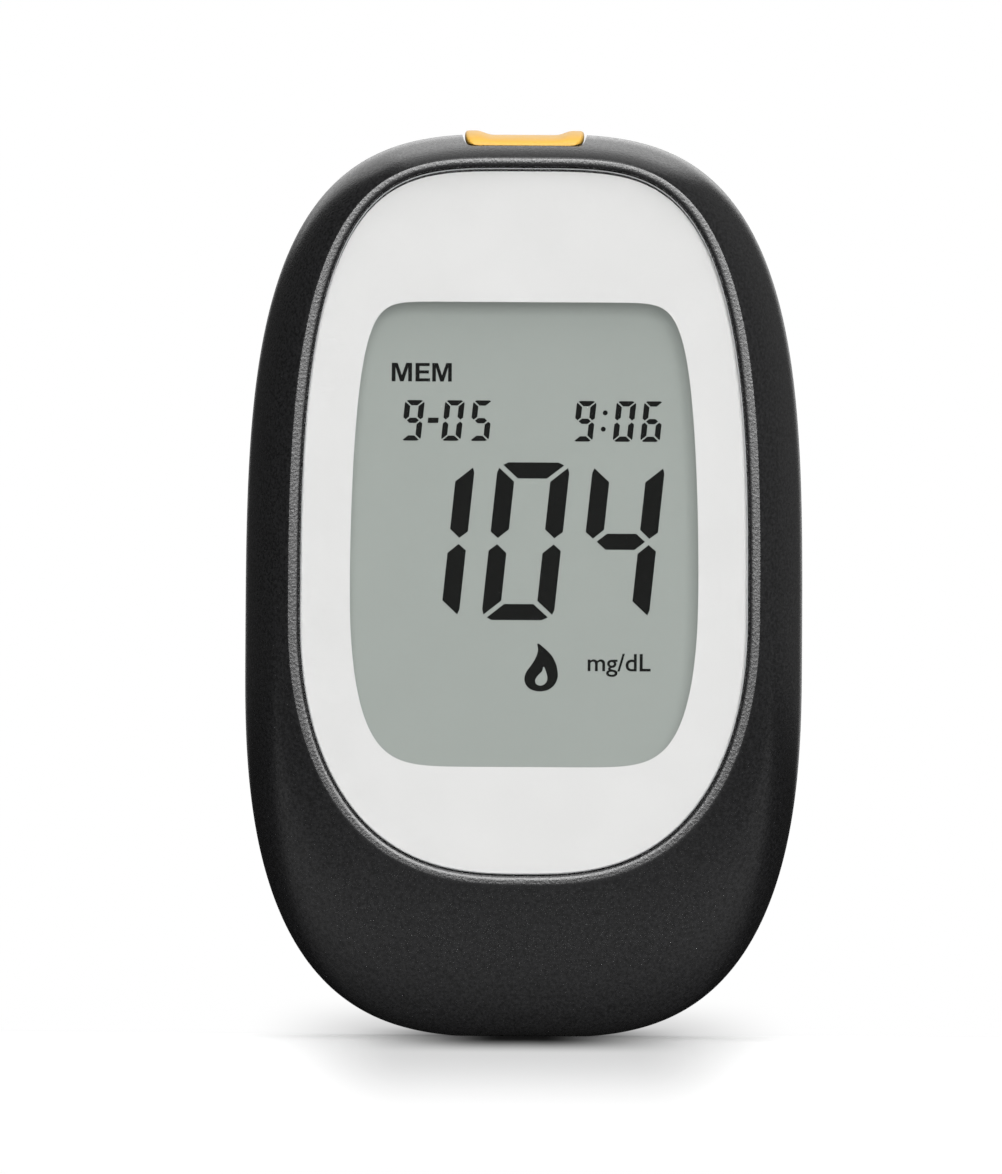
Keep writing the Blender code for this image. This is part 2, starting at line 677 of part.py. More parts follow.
def front_ring(turn, inset=0.0):
    """A ring of the front shell: from the lip at turn 0 to the parting outline at a quarter turn."""
    mix = LIP + (BODY - LIP) * math.sin(turn)
    return offset(mix, -inset), PARTING_DEPTH - FRONT_DROP * math.cos(turn)


def rear_ring(turn, inset=0.0):
    """A ring of the rear shell: from the parting outline at turn 0 to the flat back at a quarter turn."""
    drawn_in = inset + (BACK_EDGE_RADIUS - inset) * (1 - math.cos(turn))
    return offset(BODY, -drawn_in), PARTING_DEPTH + (BACK_DROP - inset) * math.sin(turn)


def turn_steps(start, end, steps):
    return [start + (end - start) * step / steps for step in range(steps + 1)]


def port_notch(name):
    """The gap in the top end that the strip port fills, with rounded lower corners."""
    radius = PORT_CORNER_RADIUS + CLEARANCE
    outline = rounded_rectangle(
        PORT_WIDTH / 2 + CLEARANCE,
        PORT_LIP_HEIGHT - CLEARANCE,
        BODY_HEIGHT + radius + OVERRUN,
        radius,
    )
    return prism(name, [outline], 0, BODY_DEPTH)


def port_well(name):
    """The opening under the notch, for the port's body."""
    return box(
        name,
        mirrored(PORT_WIDTH / 2 + CLEARANCE),
        (PORT_BODY_FRONT - CLEARANCE, PORT_REAR_DEPTH + CLEARANCE),
        (PORT_FLANGE_HEIGHT, BODY_HEIGHT),
    )


def foot_cut(name):
    """The small flat under the lower end, on which the meter stands."""
    return box(
        name,
        mirrored(BODY_HALF),
        (-OVERRUN, BODY_DEPTH + OVERRUN),
        (-BODY_HEIGHT, 0),
    )


def front_housing():
    quarter = turn_steps(0, QUARTER_TURN, SHELL_RING_COUNT)
    rings = [front_ring(turn) for turn in quarter[:-1]]
    rim_depth = PARTING_DEPTH - PARTING_GAP / 2
    rings.append((BODY, rim_depth - PARTING_CHAMFER))
    rings.append((offset(BODY, -PARTING_CHAMFER), rim_depth))
    tongue = offset(BODY, -(LAP_LIP + CLEARANCE))
    rings.append((tongue, rim_depth))
    rings.append((tongue, PARTING_DEPTH + LAP_DEPTH))
    shell = loft("front_housing", rings, "black_housing")

    first_turn = math.acos((PARTING_DEPTH - CAVITY_DEPTH) / FRONT_DROP)
    hollow_turns = turn_steps(first_turn, QUARTER_TURN, SHELL_RING_COUNT // 2)
    hollow = [front_ring(turn, WALL) for turn in hollow_turns]
    hollow.append((offset(BODY, -WALL), PARTING_DEPTH + LAP_DEPTH + OVERRUN))
    cavity = loft("front_cavity", hollow)
    for name, (x, z) in SCREW_PLACES.items():
        boss_range = (-OVERRUN, BOARD_DEPTH - CLEARANCE)
        boss = cylinder(name + "_boss", x, z, BOSS_RADIUS, boss_range, sides=SMALL_ROUND_SIDE_COUNT)
        cut(cavity, boss)
    cut(shell, cavity)
    pocket = prism("lens_pocket", [LENS_POCKET], -OVERRUN, LEDGE_DEPTH)
    opening = prism("window_opening", [offset(WINDOW, LEDGE_SETBACK)], 0, BOARD_DEPTH)
    cut(shell, pocket, opening, port_notch("front_port_notch"), port_well("front_port_well"))
    for name, (x, z) in SCREW_PLACES.items():
        hole_range = (SCREW_TIP_DEPTH - CLEARANCE, BOARD_BACK)
        cut(shell, cylinder(name + "_pilot", x, z, SCREW_RADIUS + CLEARANCE, hole_range))
    cut(shell, foot_cut("front_foot_cut"))
    return shell


def door_outline(distance):
    """The door's outline moved outwards."""
    return rounded_rectangle(
        DOOR_HALF + distance,
        DOOR_BOTTOM - distance,
        DOOR_TOP + distance,
        DOOR_CORNER_RADIUS + distance,
    )


def cut_battery_bay(shell):
    """The door's recess, the pocket for the coin cell and the well of the set key."""
    cut(shell, prism("door_recess", [door_outline(CLEARANCE)], SEAT_DEPTH, BODY_DEPTH + OVERRUN))
    pocket = (POCKET_FLOOR, BODY_DEPTH)
    cut(shell, cylinder("cell_pocket", 0, CELL_Z, POCKET_RADIUS, pocket, sides=LARGE_ROUND_SIDE_COUNT))
    notch_reach = POCKET_RADIUS / math.sqrt(2)
    cut(
        shell,
        cylinder(
            "finger_notch",
            -notch_reach,
            CELL_Z + notch_reach - CLEARANCE,
            FINGER_NOTCH_RADIUS - CLEARANCE,
            (POCKET_FLOOR + FINGER_NOTCH_FLOOR, BODY_DEPTH),
        ),
    )
    well_bottom = SET_KEY_Z - SET_WELL_HEIGHT / 2
    well = (well_bottom, well_bottom + SET_WELL_HEIGHT)
    cut(shell, box("set_well", mirrored(SET_WELL_WIDTH / 2), (SET_WELL_FLOOR_DEPTH, BODY_DEPTH), well))
    room = SWITCH_SIZE / 2 + CLEARANCE
    room_range = (SET_KEY_Z - room, SET_KEY_Z + room)
    cut(shell, box("set_switch_room", mirrored(room), (TUB_DEPTH - OVERRUN, SET_WELL_INNER), room_range))
    hole = (SET_WELL_INNER - OVERRUN, BODY_DEPTH)
    cut(shell, cylinder("set_key_hole", 0, SET_KEY_Z, SET_KEY_RADIUS + CLEARANCE, hole))
    return shell


def cut_door_fittings(shell):
    swing = math.hypot(HOOK_REACH, DOOR_THICKNESS + CLEARANCE * 2 + HOOK_THICKNESS) + CLEARANCE
    for side, (inner, outer) in hook_spans().items():
        slot = box(
            f"hook_slot_{side}",
            (inner - CLEARANCE, outer + CLEARANCE),
            (BODY_DEPTH - swing, DOOR_INNER),
            (DOOR_BOTTOM - HOOK_REACH - CLEARANCE * 2, DOOR_BOTTOM + swing),
        )
        cut(shell, slot)
    nose_depth = DOOR_INNER - CLEARANCE * 2 - LATCH_NOSE_THICKNESS
    cut(
        shell,
        box(
            "latch_slot",
            mirrored(LATCH_NOSE_WIDTH / 2 + CLEARANCE),
            (nose_depth - CLEARANCE, DOOR_INNER),
            (DOOR_TOP - LATCH_ROOT - CLEARANCE * 2, DOOR_TOP + LATCH_NOSE_REACH + CLEARANCE),
        ),
    )
    cut(
        shell,
        cylinder(
            "nail_scoop",
            0,
            DOOR_TOP,
            NAIL_SCOOP_RADIUS / 2,
            (BODY_DEPTH - NAIL_SCOOP_DEPTH, BODY_DEPTH + OVERRUN),
            sides=ROUND_SIDE_COUNT,
        ),
    )
    return shell


def cut_contact_slots(shell):
    half = CELL_CONTACT_WIDTH / 2 + CLEARANCE
    reach = CELL_CONTACT_REACH + CLEARANCE
    low = CELL_Z - CELL_CONTACT_REACH - CLEARANCE
    cut(shell, box("centre_contact_slot", mirrored(half), (BOARD_BACK, CELL_DEPTH), (low, low + reach * 2)))
    side_range = (
        CELL_RADIUS - CLEARANCE,
        CELL_RADIUS + CLEARANCE * 3 + CELL_CONTACT_THICKNESS,
    )
    rise = (BOARD_BACK, CELL_DEPTH + CELL_THICKNESS)
    cut(shell, box("side_contact_slot", side_range, rise, (CELL_Z - half, CELL_Z + half)))
    return shell


def cut_key_and_track(shell):
    key_hole = (WALL_INNER - OVERRUN, BODY_DEPTH + OVERRUN)
    cut(
        shell,
        cylinder(
            "main_key_hole", 0, MAIN_KEY_Z, MAIN_KEY_RADIUS + CLEARANCE, key_hole, sides=ROUND_SIDE_COUNT
        ),
    )
    dish = [
        (0, BODY_DEPTH + OVERRUN),
        (KEY_DISH_RADIUS, BODY_DEPTH + OVERRUN),
        (KEY_DISH_RADIUS, BODY_DEPTH),
        (MAIN_KEY_RADIUS, BODY_DEPTH - KEY_DISH_DEPTH),
        (0, BODY_DEPTH - KEY_DISH_DEPTH),
    ]
    cut(shell, turned("main_key_dish", 0, MAIN_KEY_Z, dish))
    track = rounded_rectangle(
        KNOB_WIDTH / 2 + CLEARANCE, TRACK_BOTTOM, TRACK_TOP, KNOB_CORNER_RADIUS + CLEARANCE
    )
    cut(shell, prism("ejector_track", [track], TRACK_FLOOR, BODY_DEPTH + OVERRUN))
    neck_range = (NECK_BOTTOM - CLEARANCE, NECK_BOTTOM + NECK_HEIGHT + EJECT_TRAVEL + CLEARANCE)
    neck_depths = (TRACK_PAD_DEPTH - OVERRUN, BODY_DEPTH)
    cut(shell, box("neck_slot", mirrored(NECK_WIDTH / 2 + CLEARANCE), neck_depths, neck_range))
    return shell


def rear_housing():
    rim_depth = PARTING_DEPTH + PARTING_GAP / 2
    quarter = turn_steps(0, QUARTER_TURN, SHELL_RING_COUNT)
    rings = [
        (offset(BODY, -PARTING_CHAMFER), rim_depth),
        (BODY, rim_depth + PARTING_CHAMFER),
    ]
    rings += [rear_ring(turn) for turn in quarter[1:]]
    shell = loft("rear_housing", rings, "black_housing")

    lip = offset(BODY, -LAP_LIP)
    rebate_depth = PARTING_DEPTH + LAP_DEPTH + CLEARANCE
    hollow = [
        (lip, PARTING_DEPTH - OVERRUN),
        (lip, rebate_depth),
        (offset(BODY, -WALL), rebate_depth),
    ]
    first_turn = math.asin((rebate_depth - PARTING_DEPTH) / (BACK_DROP - WALL)) * 2
    hollow += [rear_ring(turn, WALL) for turn in turn_steps(first_turn, QUARTER_TURN, SHELL_RING_COUNT - 2)]
    cavity = loft("rear_cavity", hollow)
    cut(cavity, prism("battery_tub", [door_outline(CLEARANCE + TUB_WALL)], TUB_DEPTH, BODY_DEPTH))
    for name, (x, z) in SCREW_PLACES.items():
        post_range = (MOUNTED_DEPTH, BODY_DEPTH)
        cut(cavity, cylinder(name + "_post", x, z, POST_RADIUS, post_range))
    pad_half = KNOB_WIDTH / 2 + CLEARANCE + TRACK_PAD_MARGIN
    pad_range = (TRACK_BOTTOM - TRACK_PAD_MARGIN, TRACK_TOP + TRACK_PAD_MARGIN)
    cut(cavity, box("track_pad", mirrored(pad_half), (TRACK_PAD_DEPTH, BODY_DEPTH), pad_range))
    rib_range = (SPRING_RIB_BOTTOM, SPRING_RIB_BOTTOM + SPRING_RIB_THICKNESS)
    rib_depths = (PORT_BODY_BACK + CLEARANCE, BODY_DEPTH)
    cut(cavity, box("spring_rib", mirrored(SPRING_RIB_WIDTH / 2), rib_depths, rib_range))
    cut(shell, cavity)

    cut_battery_bay(shell)
    cut_door_fittings(shell)
    cut_contact_slots(shell)
    cut_key_and_track(shell)
    for name, (x, z) in SCREW_PLACES.items():
        counterbore = (SCREW_SEAT_DEPTH, BODY_DEPTH + OVERRUN)
        cut(shell, cylinder(name + "_counterbore", x, z, SCREW_HEAD_RADIUS + CLEARANCE, counterbore))
        hole_range = (BOARD_BACK, BODY_DEPTH)
        cut(shell, cylinder(name + "_hole", x, z, SCREW_RADIUS + CLEARANCE, hole_range))
    cut(shell, port_notch("rear_port_notch"), port_well("rear_port_well"), foot_cut("rear_foot_cut"))
    return shell


# Face and display


def face_and_display():
    lens_rings = [
        (offset(LENS, -LENS_BEVEL), LENS_RECESS),
        (LENS, LENS_RECESS + LENS_BEVEL),
        (LENS, LENS_RECESS + LENS_THICKNESS),
    ]
    loft("display_lens", lens_rings, "clear_lens")
    prism("face_film", [FACE, WINDOW], FILM_DEPTH, FILM_DEPTH + FILM_THICKNESS, "white_print")
    prism(
        "lens_adhesive",
        [offset(FACE, -ADHESIVE_INSET), offset(WINDOW, LEDGE_SETBACK + ADHESIVE_INSET)],
        ADHESIVE_DEPTH,
        ADHESIVE_DEPTH + ADHESIVE_THICKNESS,
        "clear_adhesive",
    )
    glass = rounded_rectangle(LCD_HALF, LCD_BOTTOM, LCD_TOP, LCD_CORNER_RADIUS)
    prism("lcd_glass", [glass], LCD_DEPTH, LCD_BACK, "display_glass")
    lcd_holder()


def zebra_places():
    """Where the two elastomer strips stand, at the display's upper and lower ends."""
    inset = CLEARANCE + ZEBRA_WIDTH
    return {"upper": LCD_TOP - inset, "lower": LCD_BOTTOM + CLEARANCE}


def lcd_holder():
    outer = rounded_rectangle(HOLDER_HALF, HOLDER_BOTTOM, HOLDER_TOP, HOLDER_CORNER_RADIUS)
    seat = rounded_rectangle(
        LCD_HALF + CLEARANCE,
        LCD_BOTTOM - CLEARANCE,
        LCD_TOP + CLEARANCE,
        LCD_CORNER_RADIUS + CLEARANCE,
    )
    opening = rounded_rectangle(
        LCD_HALF - HOLDER_REST,
        LCD_BOTTOM + HOLDER_REST,
        LCD_TOP - HOLDER_REST,
        LCD_CORNER_RADIUS,
    )
    holder = prism("lcd_holder", [outer], HOLDER_DEPTH, HOLDER_BACK, "white_frame")
    cut(holder, prism("glass_seat", [seat], 0, ZEBRA_DEPTH))
    cut(holder, prism("holder_opening", [opening], 0, BOARD_DEPTH))
    half = LCD_HALF - ZEBRA_END_INSET
    for end, bottom in zebra_places().items():
        span = (bottom, bottom + ZEBRA_WIDTH)
        slot_span = (bottom - CLEARANCE, bottom + ZEBRA_WIDTH + CLEARANCE)
        cut(holder, box(f"zebra_slot_{end}", mirrored(half + CLEARANCE), (0, BOARD_DEPTH), slot_span))
        box(f"zebra_strip_{end}", mirrored(half), (ZEBRA_DEPTH, HOLDER_BACK), span, "zebra_rubber")


# Circuit board and what it carries


def circuit_board():
    outline = offset(BODY, -(WALL + BOARD_GAP))
    board = prism("circuit_board", [outline], BOARD_DEPTH, BOARD_BACK, "board_laminate")
    half = PORT_WIDTH / 2 + PORT_FLANGE_PROUD + CLEARANCE
    cut(
        board,
        box(
            "board_notch",
            mirrored(half),
            (0, BODY_DEPTH),
            (CONNECTOR_TOP, BODY_HEIGHT + OVERRUN),
        ),
    )
    for name, (x, z) in SCREW_PLACES.items():
        hole = cylinder(name + "_board_hole", x, z, SCREW_RADIUS + CLEARANCE, (0, BODY_DEPTH))
        cut(board, hole)
    board_parts()


def chip(name, x, z, width, height, thickness=CHIP_THICKNESS, material="chip_epoxy"):
    return box(
        name,
        (x - width / 2, x + width / 2),
        (MOUNTED_DEPTH, MOUNTED_DEPTH + thickness),
        (z - height / 2, z + height / 2),
        material,
    )


def board_parts():
    """Parts on the back of the board: one column on each side, above the processor and the memory chip."""
    chip("processor_chip", PROCESSOR_X, MAIN_KEY_Z, PROCESSOR_SIZE, PROCESSOR_SIZE)
    buzzer_z = MAIN_KEY_Z + PROCESSOR_SIZE / 2 + BUZZER_SPACING + BUZZER_RADIUS
    buzzer_back = MOUNTED_DEPTH + BUZZER_HEIGHT
    buzzer = cylinder(
        "buzzer",
        BUZZER_X,
        buzzer_z,
        BUZZER_RADIUS,
        (MOUNTED_DEPTH, buzzer_back),
        "black_plastic",
        sides=ROUND_SIDE_COUNT,
    )
    sound_hole = (buzzer_back - BUZZER_HOLE_DEPTH, BODY_DEPTH)
    cut(buzzer, cylinder("buzzer_hole", BUZZER_X, buzzer_z, BUZZER_HOLE_RADIUS, sound_hole))

    heights = (MEMORY_HEIGHT, CRYSTAL_RADIUS * 2, CAPACITOR_RADIUS * 2, AMPLIFIER_HEIGHT)
    column_bottom = MAIN_KEY_Z - MEMORY_HEIGHT / 2
    column_top = UPPER_SCREW_HEIGHT - POST_RADIUS
    spacing = (column_top - column_bottom - sum(heights)) / len(heights)
    middles = []
    bottom = column_bottom
    for height in heights:
        middles.append(bottom + height / 2)
        bottom += height + spacing
    memory_z, crystal_z, capacitor_z, amplifier_z = middles
    chip("memory_chip", MEMORY_X, memory_z, MEMORY_WIDTH, MEMORY_HEIGHT)
    timing_crystal(crystal_z)
    cylinder(
        "reservoir_capacitor",
        CAPACITOR_X,
        capacitor_z,
        CAPACITOR_RADIUS,
        (MOUNTED_DEPTH, MOUNTED_DEPTH + CAPACITOR_HEIGHT),
        "spring_steel",
    )
    chip("amplifier_chip", AMPLIFIER_X, amplifier_z, AMPLIFIER_WIDTH, AMPLIFIER_HEIGHT)
    sensor_z = CONNECTOR_TOP - SENSOR_HEIGHT
    chip("temperature_sensor", SENSOR_X, sensor_z, SENSOR_WIDTH, SENSOR_HEIGHT, SENSOR_THICKNESS)


def timing_crystal(z):
    """A small can that lies across the board."""
    solid = bmesh.new()
    bmesh.ops.create_cone(
        solid,
        cap_ends=True,
        segments=SMALL_ROUND_SIDE_COUNT,
        radius1=CRYSTAL_RADIUS,
        radius2=CRYSTAL_RADIUS,
        depth=CRYSTAL_LENGTH,
    )
    mesh = bpy.data.meshes.new("timing_crystal")
    solid.to_mesh(mesh)
    solid.free()
    can = add_mesh("timing_crystal", mesh, "spring_steel")
    can.rotation_euler.y = QUARTER_TURN
    can.location = (CRYSTAL_X, y_at(MOUNTED_DEPTH + CRYSTAL_RADIUS), z)


# Strip port and connector


def arch(front, back, rise):
    """Side profile of the port's head, in depths and heights: two quarter ellipses joined at the parting."""
    foot, crown = PORT_LIP_HEIGHT, PORT_LIP_HEIGHT + rise
    points = [(front, foot)]
    steps = CORNER_STEP_COUNT * 2
    for step in range(1, 2 * steps + 1):
        angle = QUARTER_TURN * step / steps
        reach = (PARTING_DEPTH - front) if step <= steps else (back - PARTING_DEPTH)
        points.append((PARTING_DEPTH - reach * math.cos(angle), foot + (crown - foot) * math.sin(angle)))
    return np.array(points)


def port_front():
    """The depth at which the notch's floor breaks through the front of the housing."""
    crest = LIP[0][1]
    rise = (PORT_LIP_HEIGHT - crest) / (BODY_HEIGHT - crest)
    return PARTING_DEPTH - FRONT_DROP * math.cos(math.asin(rise))


def port_head_outline():
    """The port's head seen from the front: rounded lower corners, two ears and the saddle between them."""
    half, saddle = PORT_WIDTH / 2, PORT_SADDLE_WIDTH / 2
    ear_outer = half - PORT_EAR_INSET
    ear_inner = ear_outer - PORT_EAR_WIDTH
    right = [
        (saddle - PORT_EAR_INSET, PORT_SADDLE_HEIGHT),
        (ear_inner, PORT_EAR_HEIGHT),
        (ear_outer, PORT_EAR_HEIGHT),
        (half, PORT_EAR_HEIGHT - PORT_EAR_INSET),
    ]
    for step in range(CORNER_STEP_COUNT + 1):
        angle = QUARTER_TURN * step / CORNER_STEP_COUNT
        right.append(
            (
                half - PORT_CORNER_RADIUS * (1 - math.cos(angle)),
                PORT_LIP_HEIGHT + PORT_CORNER_RADIUS * (1 - math.sin(angle)),
            )
        )
    return np.array(right + [(-x, z) for x, z in right[::-1]])


def strip_port():
    front = port_front() + PORT_FRONT_SETBACK
    rise = PORT_EAR_HEIGHT + PORT_EAR_INSET - PORT_LIP_HEIGHT
    head = prism("strip_port", [port_head_outline()], 0, BODY_DEPTH, "yellow_plastic")
    profile = prism(
        "port_arch",
        [arch(front, PORT_REAR_DEPTH, rise)],
        -PORT_WIDTH,
        PORT_WIDTH,
        across=True,
    )
    modify(head, profile, "INTERSECT")
    half = PORT_WIDTH / 2 - PORT_CORNER_RADIUS
    body_depths = (PORT_BODY_FRONT, PORT_BODY_BACK)
    body_range = (CONNECTOR_TOP + CLEARANCE, PORT_LIP_HEIGHT + PORT_CORNER_RADIUS / 2)
    body = box("port_body", mirrored(half), body_depths, body_range)
    flange_depths = (PORT_BODY_FRONT + PORT_FLANGE_MARGIN, PORT_BODY_BACK - PORT_FLANGE_MARGIN)
    flange_range = (PORT_FLANGE_HEIGHT, PORT_FLANGE_HEIGHT + PORT_FLANGE_THICKNESS)
    flange_half = PORT_WIDTH / 2 + PORT_FLANGE_PROUD
    join(head, body, box("port_flange", mirrored(flange_half), flange_depths, flange_range))
    slot_depths = (SLOT_DEPTH, SLOT_BACK)
    through = (CONNECTOR_TOP - OVERRUN, PORT_EAR_HEIGHT + OVERRUN)
    cut(head, box("strip_slot", mirrored(SLOT_WIDTH / 2), slot_depths, through))
    cut(head, port_mouth())
    return head


def port_mouth():
    """The funnel over the slot: wide at the saddle, drawn in to the slot below it."""
    middle = (SLOT_DEPTH + SLOT_BACK) / 2
    funnel = box(
        "port_mouth",
        mirrored(PORT_MOUTH_WIDTH / 2),
        (middle - PORT_MOUTH_THICKNESS / 2, middle + PORT_MOUTH_THICKNESS / 2),
        (PORT_SADDLE_HEIGHT - PORT_MOUTH_DEPTH, PORT_SADDLE_HEIGHT + OVERRUN),
    )
    centre_y, floor = y_at(middle), PORT_SADDLE_HEIGHT
    for corner in funnel.data.vertices:
        if corner.co.z < floor:
            corner.co.x *= SLOT_WIDTH / PORT_MOUTH_WIDTH
            corner.co.y = centre_y + (corner.co.y - centre_y) * SLOT_THICKNESS / PORT_MOUTH_THICKNESS
    return funnel


def strip_connector():
    depths = (MOUNTED_DEPTH, CONNECTOR_BACK)
    heights = (CONNECTOR_BOTTOM, CONNECTOR_TOP)
    block = box("strip_connector", mirrored(CONNECTOR_WIDTH / 2), depths, heights, "black_plastic")
    through = (CONNECTOR_BOTTOM - OVERRUN, CONNECTOR_TOP + OVERRUN)
    cut(block, box("connector_slot", mirrored(SLOT_WIDTH / 2), (SLOT_DEPTH, SLOT_BACK), through))
    names = ("left", "middle", "right")
    for index, side in enumerate(names):
        x = (index - 1) * CONTACT_PITCH
        half = CONTACT_WIDTH / 2
        groove_depths = (SLOT_BACK - CONTACT_BUMP, SLOT_BACK + CONTACT_GROOVE)
        groove_heights = (CONNECTOR_BOTTOM - OVERRUN, CONNECTOR_TOP - CONTACT_FOOT)
        groove_half = (x - half - CLEARANCE / 2, x + half + CLEARANCE / 2)
        cut(block, box(f"contact_groove_{side}", groove_half, groove_depths, groove_heights))
        prism(
            f"strip_contact_{side}",
            [contact_profile()],
            x - half,
            x + half,
            "gold_contact",
            across=True,
        )
    return block


def contact_profile():
    """One bent leaf: foot on the board under the connector, arm in the groove, bump in the slot."""
    thick = CONTACT_THICKNESS
    foot_bottom = CONNECTOR_BOTTOM - CLEARANCE - CONTACT_FOOT
    leaf_back = SLOT_BACK + CONTACT_GROOVE - CLEARANCE
    leaf_top = CONNECTOR_TOP - CONTACT_FOOT - CLEARANCE
    bump_z = (CONNECTOR_BOTTOM + leaf_top) / 2 + CONTACT_FOOT
    bump_depth = SLOT_BACK - CONTACT_BUMP + thick
    return np.array(
        [
            (MOUNTED_DEPTH, foot_bottom),
            (leaf_back, foot_bottom),
            (leaf_back, bump_z - CONTACT_FOOT * 2),
            (bump_depth + thick, bump_z),
            (leaf_back, leaf_top),
            (leaf_back - thick, leaf_top),
            (bump_depth, bump_z),
            (leaf_back - thick, bump_z - CONTACT_FOOT * 2),
            (leaf_back - thick, foot_bottom + thick),
            (MOUNTED_DEPTH, foot_bottom + thick),
        ]
    )


# Strip ejector


def ejector():
    knob_range = (KNOB_BOTTOM, KNOB_BOTTOM + KNOB_HEIGHT)
    knob_front = TRACK_FLOOR + CLEARANCE
    knob_back = knob_front + KNOB_THICKNESS
    outline = rounded_rectangle(KNOB_WIDTH / 2, *knob_range, KNOB_CORNER_RADIUS)
    knob = prism("ejector_knob", [outline], knob_front, knob_back, "key_plastic")
    soften(knob, KNOB_EDGE_BEVEL)
    neck_range = (NECK_BOTTOM, NECK_BOTTOM + NECK_HEIGHT)
    neck_depths = (CARRIAGE_BACK + CLEARANCE, knob_front + KNOB_THICKNESS / 2)
    join(knob, box("knob_neck", mirrored(NECK_WIDTH / 2), neck_depths, neck_range))
    middle = (knob_range[0] + knob_range[1]) / 2
    first = middle - KNOB_RIDGE_PITCH * (KNOB_RIDGES - 1) / 2
    for ridge in range(KNOB_RIDGES):
        z = first + ridge * KNOB_RIDGE_PITCH
        groove = box(
            f"knob_groove_{ridge}",
            mirrored(KNOB_WIDTH / 2 - KNOB_CORNER_RADIUS),
            (knob_back - KNOB_RIDGE_DEPTH, BODY_DEPTH + OVERRUN),
            (z - KNOB_RIDGE_HEIGHT / 2, z + KNOB_RIDGE_HEIGHT / 2),
        )
        cut(knob, groove)
    move_origin(knob, 0, knob_front, KNOB_BOTTOM)

    carriage = box(
        "ejector_carriage",
        mirrored(CARRIAGE_WIDTH / 2),
        (CARRIAGE_DEPTH, CARRIAGE_BACK),
        (CARRIAGE_BOTTOM, CARRIAGE_TOP),
        "natural_nylon",
    )
    prong_outer = SLOT_WIDTH / 2 - CLEARANCE / 2
    prong_inner = prong_outer - PRONG_WIDTH
    prong_depth = (SLOT_DEPTH + SLOT_BACK - PRONG_THICKNESS) / 2
    arm_range = (CARRIAGE_BOTTOM, CARRIAGE_BOTTOM + FORK_ARM_HEIGHT)
    arm_depths = (prong_depth, CARRIAGE_DEPTH + CARRIAGE_THICKNESS / 2)
    join(carriage, box("fork_arm", mirrored(prong_outer), arm_depths, arm_range))
    prong_range = (CARRIAGE_BOTTOM + FORK_ARM_HEIGHT / 2, CONNECTOR_BOTTOM - CLEARANCE)
    for side, span in (("left", (-prong_outer, -prong_inner)), ("right", (prong_inner, prong_outer))):
        depths = (prong_depth, prong_depth + PRONG_THICKNESS)
        join(carriage, box(f"prong_{side}", span, depths, prong_range))
    move_origin(carriage, 0, CARRIAGE_DEPTH, CARRIAGE_BOTTOM)
    ejector_spring()


def ejector_spring():
    """A compression spring between the carriage and a rib of the rear housing."""
    curve = bpy.data.curves.new("ejector_spring", "CURVE")
    curve.dimensions = "3D"
    curve.bevel_depth = SPRING_WIRE_RADIUS
    curve.bevel_resolution = 1
    curve.use_fill_caps = True
    spline = curve.splines.new("POLY")
    count = SPRING_TURNS * SPRING_TURN_POINT_COUNT + 1
    spline.points.add(count - 1)
    pitch_length = SPRING_LENGTH - 2 * SPRING_WIRE_RADIUS
    centre_y = y_at((CONNECTOR_BACK + TRACK_PAD_DEPTH) / 2)
    for index, point in enumerate(spline.points):
        share = index / (count - 1)
        angle = 2 * math.pi * SPRING_TURNS * share
        point.co = (
            SPRING_RADIUS * math.cos(angle),
            centre_y + SPRING_RADIUS * math.sin(angle),
            SPRING_BOTTOM + SPRING_WIRE_RADIUS + pitch_length * share,
            1,
        )
    shape = bpy.data.objects.new("ejector_spring", curve)
    CUTTERS.objects.link(shape)
    return as_mesh(shape, "ejector_spring", "spring_steel")


# Keys and their switches


def tactile_switch(name, z):
    """A switch body with a bore, and the plunger in it. Returns the depth of the plunger's tip."""
    half = SWITCH_SIZE / 2
    back = MOUNTED_DEPTH + SWITCH_HEIGHT
    body = box(name, mirrored(half), (MOUNTED_DEPTH, back), (z - half, z + half), "black_plastic")
    bore = (MOUNTED_DEPTH + SWITCH_BASE, back + OVERRUN)
    cut(body, cylinder(name + "_bore", 0, z, PLUNGER_RADIUS + CLEARANCE, bore))
    root = MOUNTED_DEPTH + SWITCH_BASE + SWITCH_TRAVEL + CLEARANCE / 2
    tip = back + SWITCH_TRAVEL + CLEARANCE
    plunger = cylinder(name + "_plunger", 0, z, PLUNGER_RADIUS, (root, tip), "natural_nylon")
    move_origin(plunger, 0, root, z)
    return tip


def main_key():
    tip = tactile_switch("main_switch", MAIN_KEY_Z)
    top = BODY_DEPTH - MAIN_KEY_RECESS
    flange_back = WALL_INNER - CLEARANCE
    flange_front = flange_back - MAIN_KEY_FLANGE_THICKNESS
    flange_radius = MAIN_KEY_RADIUS + MAIN_KEY_FLANGE
    profile = [
        (0, top - MAIN_KEY_DISH),
        (MAIN_KEY_RADIUS / 2, top - MAIN_KEY_DISH * MAIN_KEY_HALFWAY_DISH_SHARE),
        (MAIN_KEY_RADIUS - MAIN_KEY_EDGE, top),
        (MAIN_KEY_RADIUS, top - MAIN_KEY_EDGE),
        (MAIN_KEY_RADIUS, flange_back),
        (flange_radius, flange_back),
        (flange_radius, flange_front),
        (MAIN_KEY_STEM_RADIUS, flange_front),
        (MAIN_KEY_STEM_RADIUS, tip + CLEARANCE),
        (0, tip + CLEARANCE),
    ]
    key = turned("main_key", 0, MAIN_KEY_Z, profile, "key_plastic")
    move_origin(key, 0, flange_front, MAIN_KEY_Z)


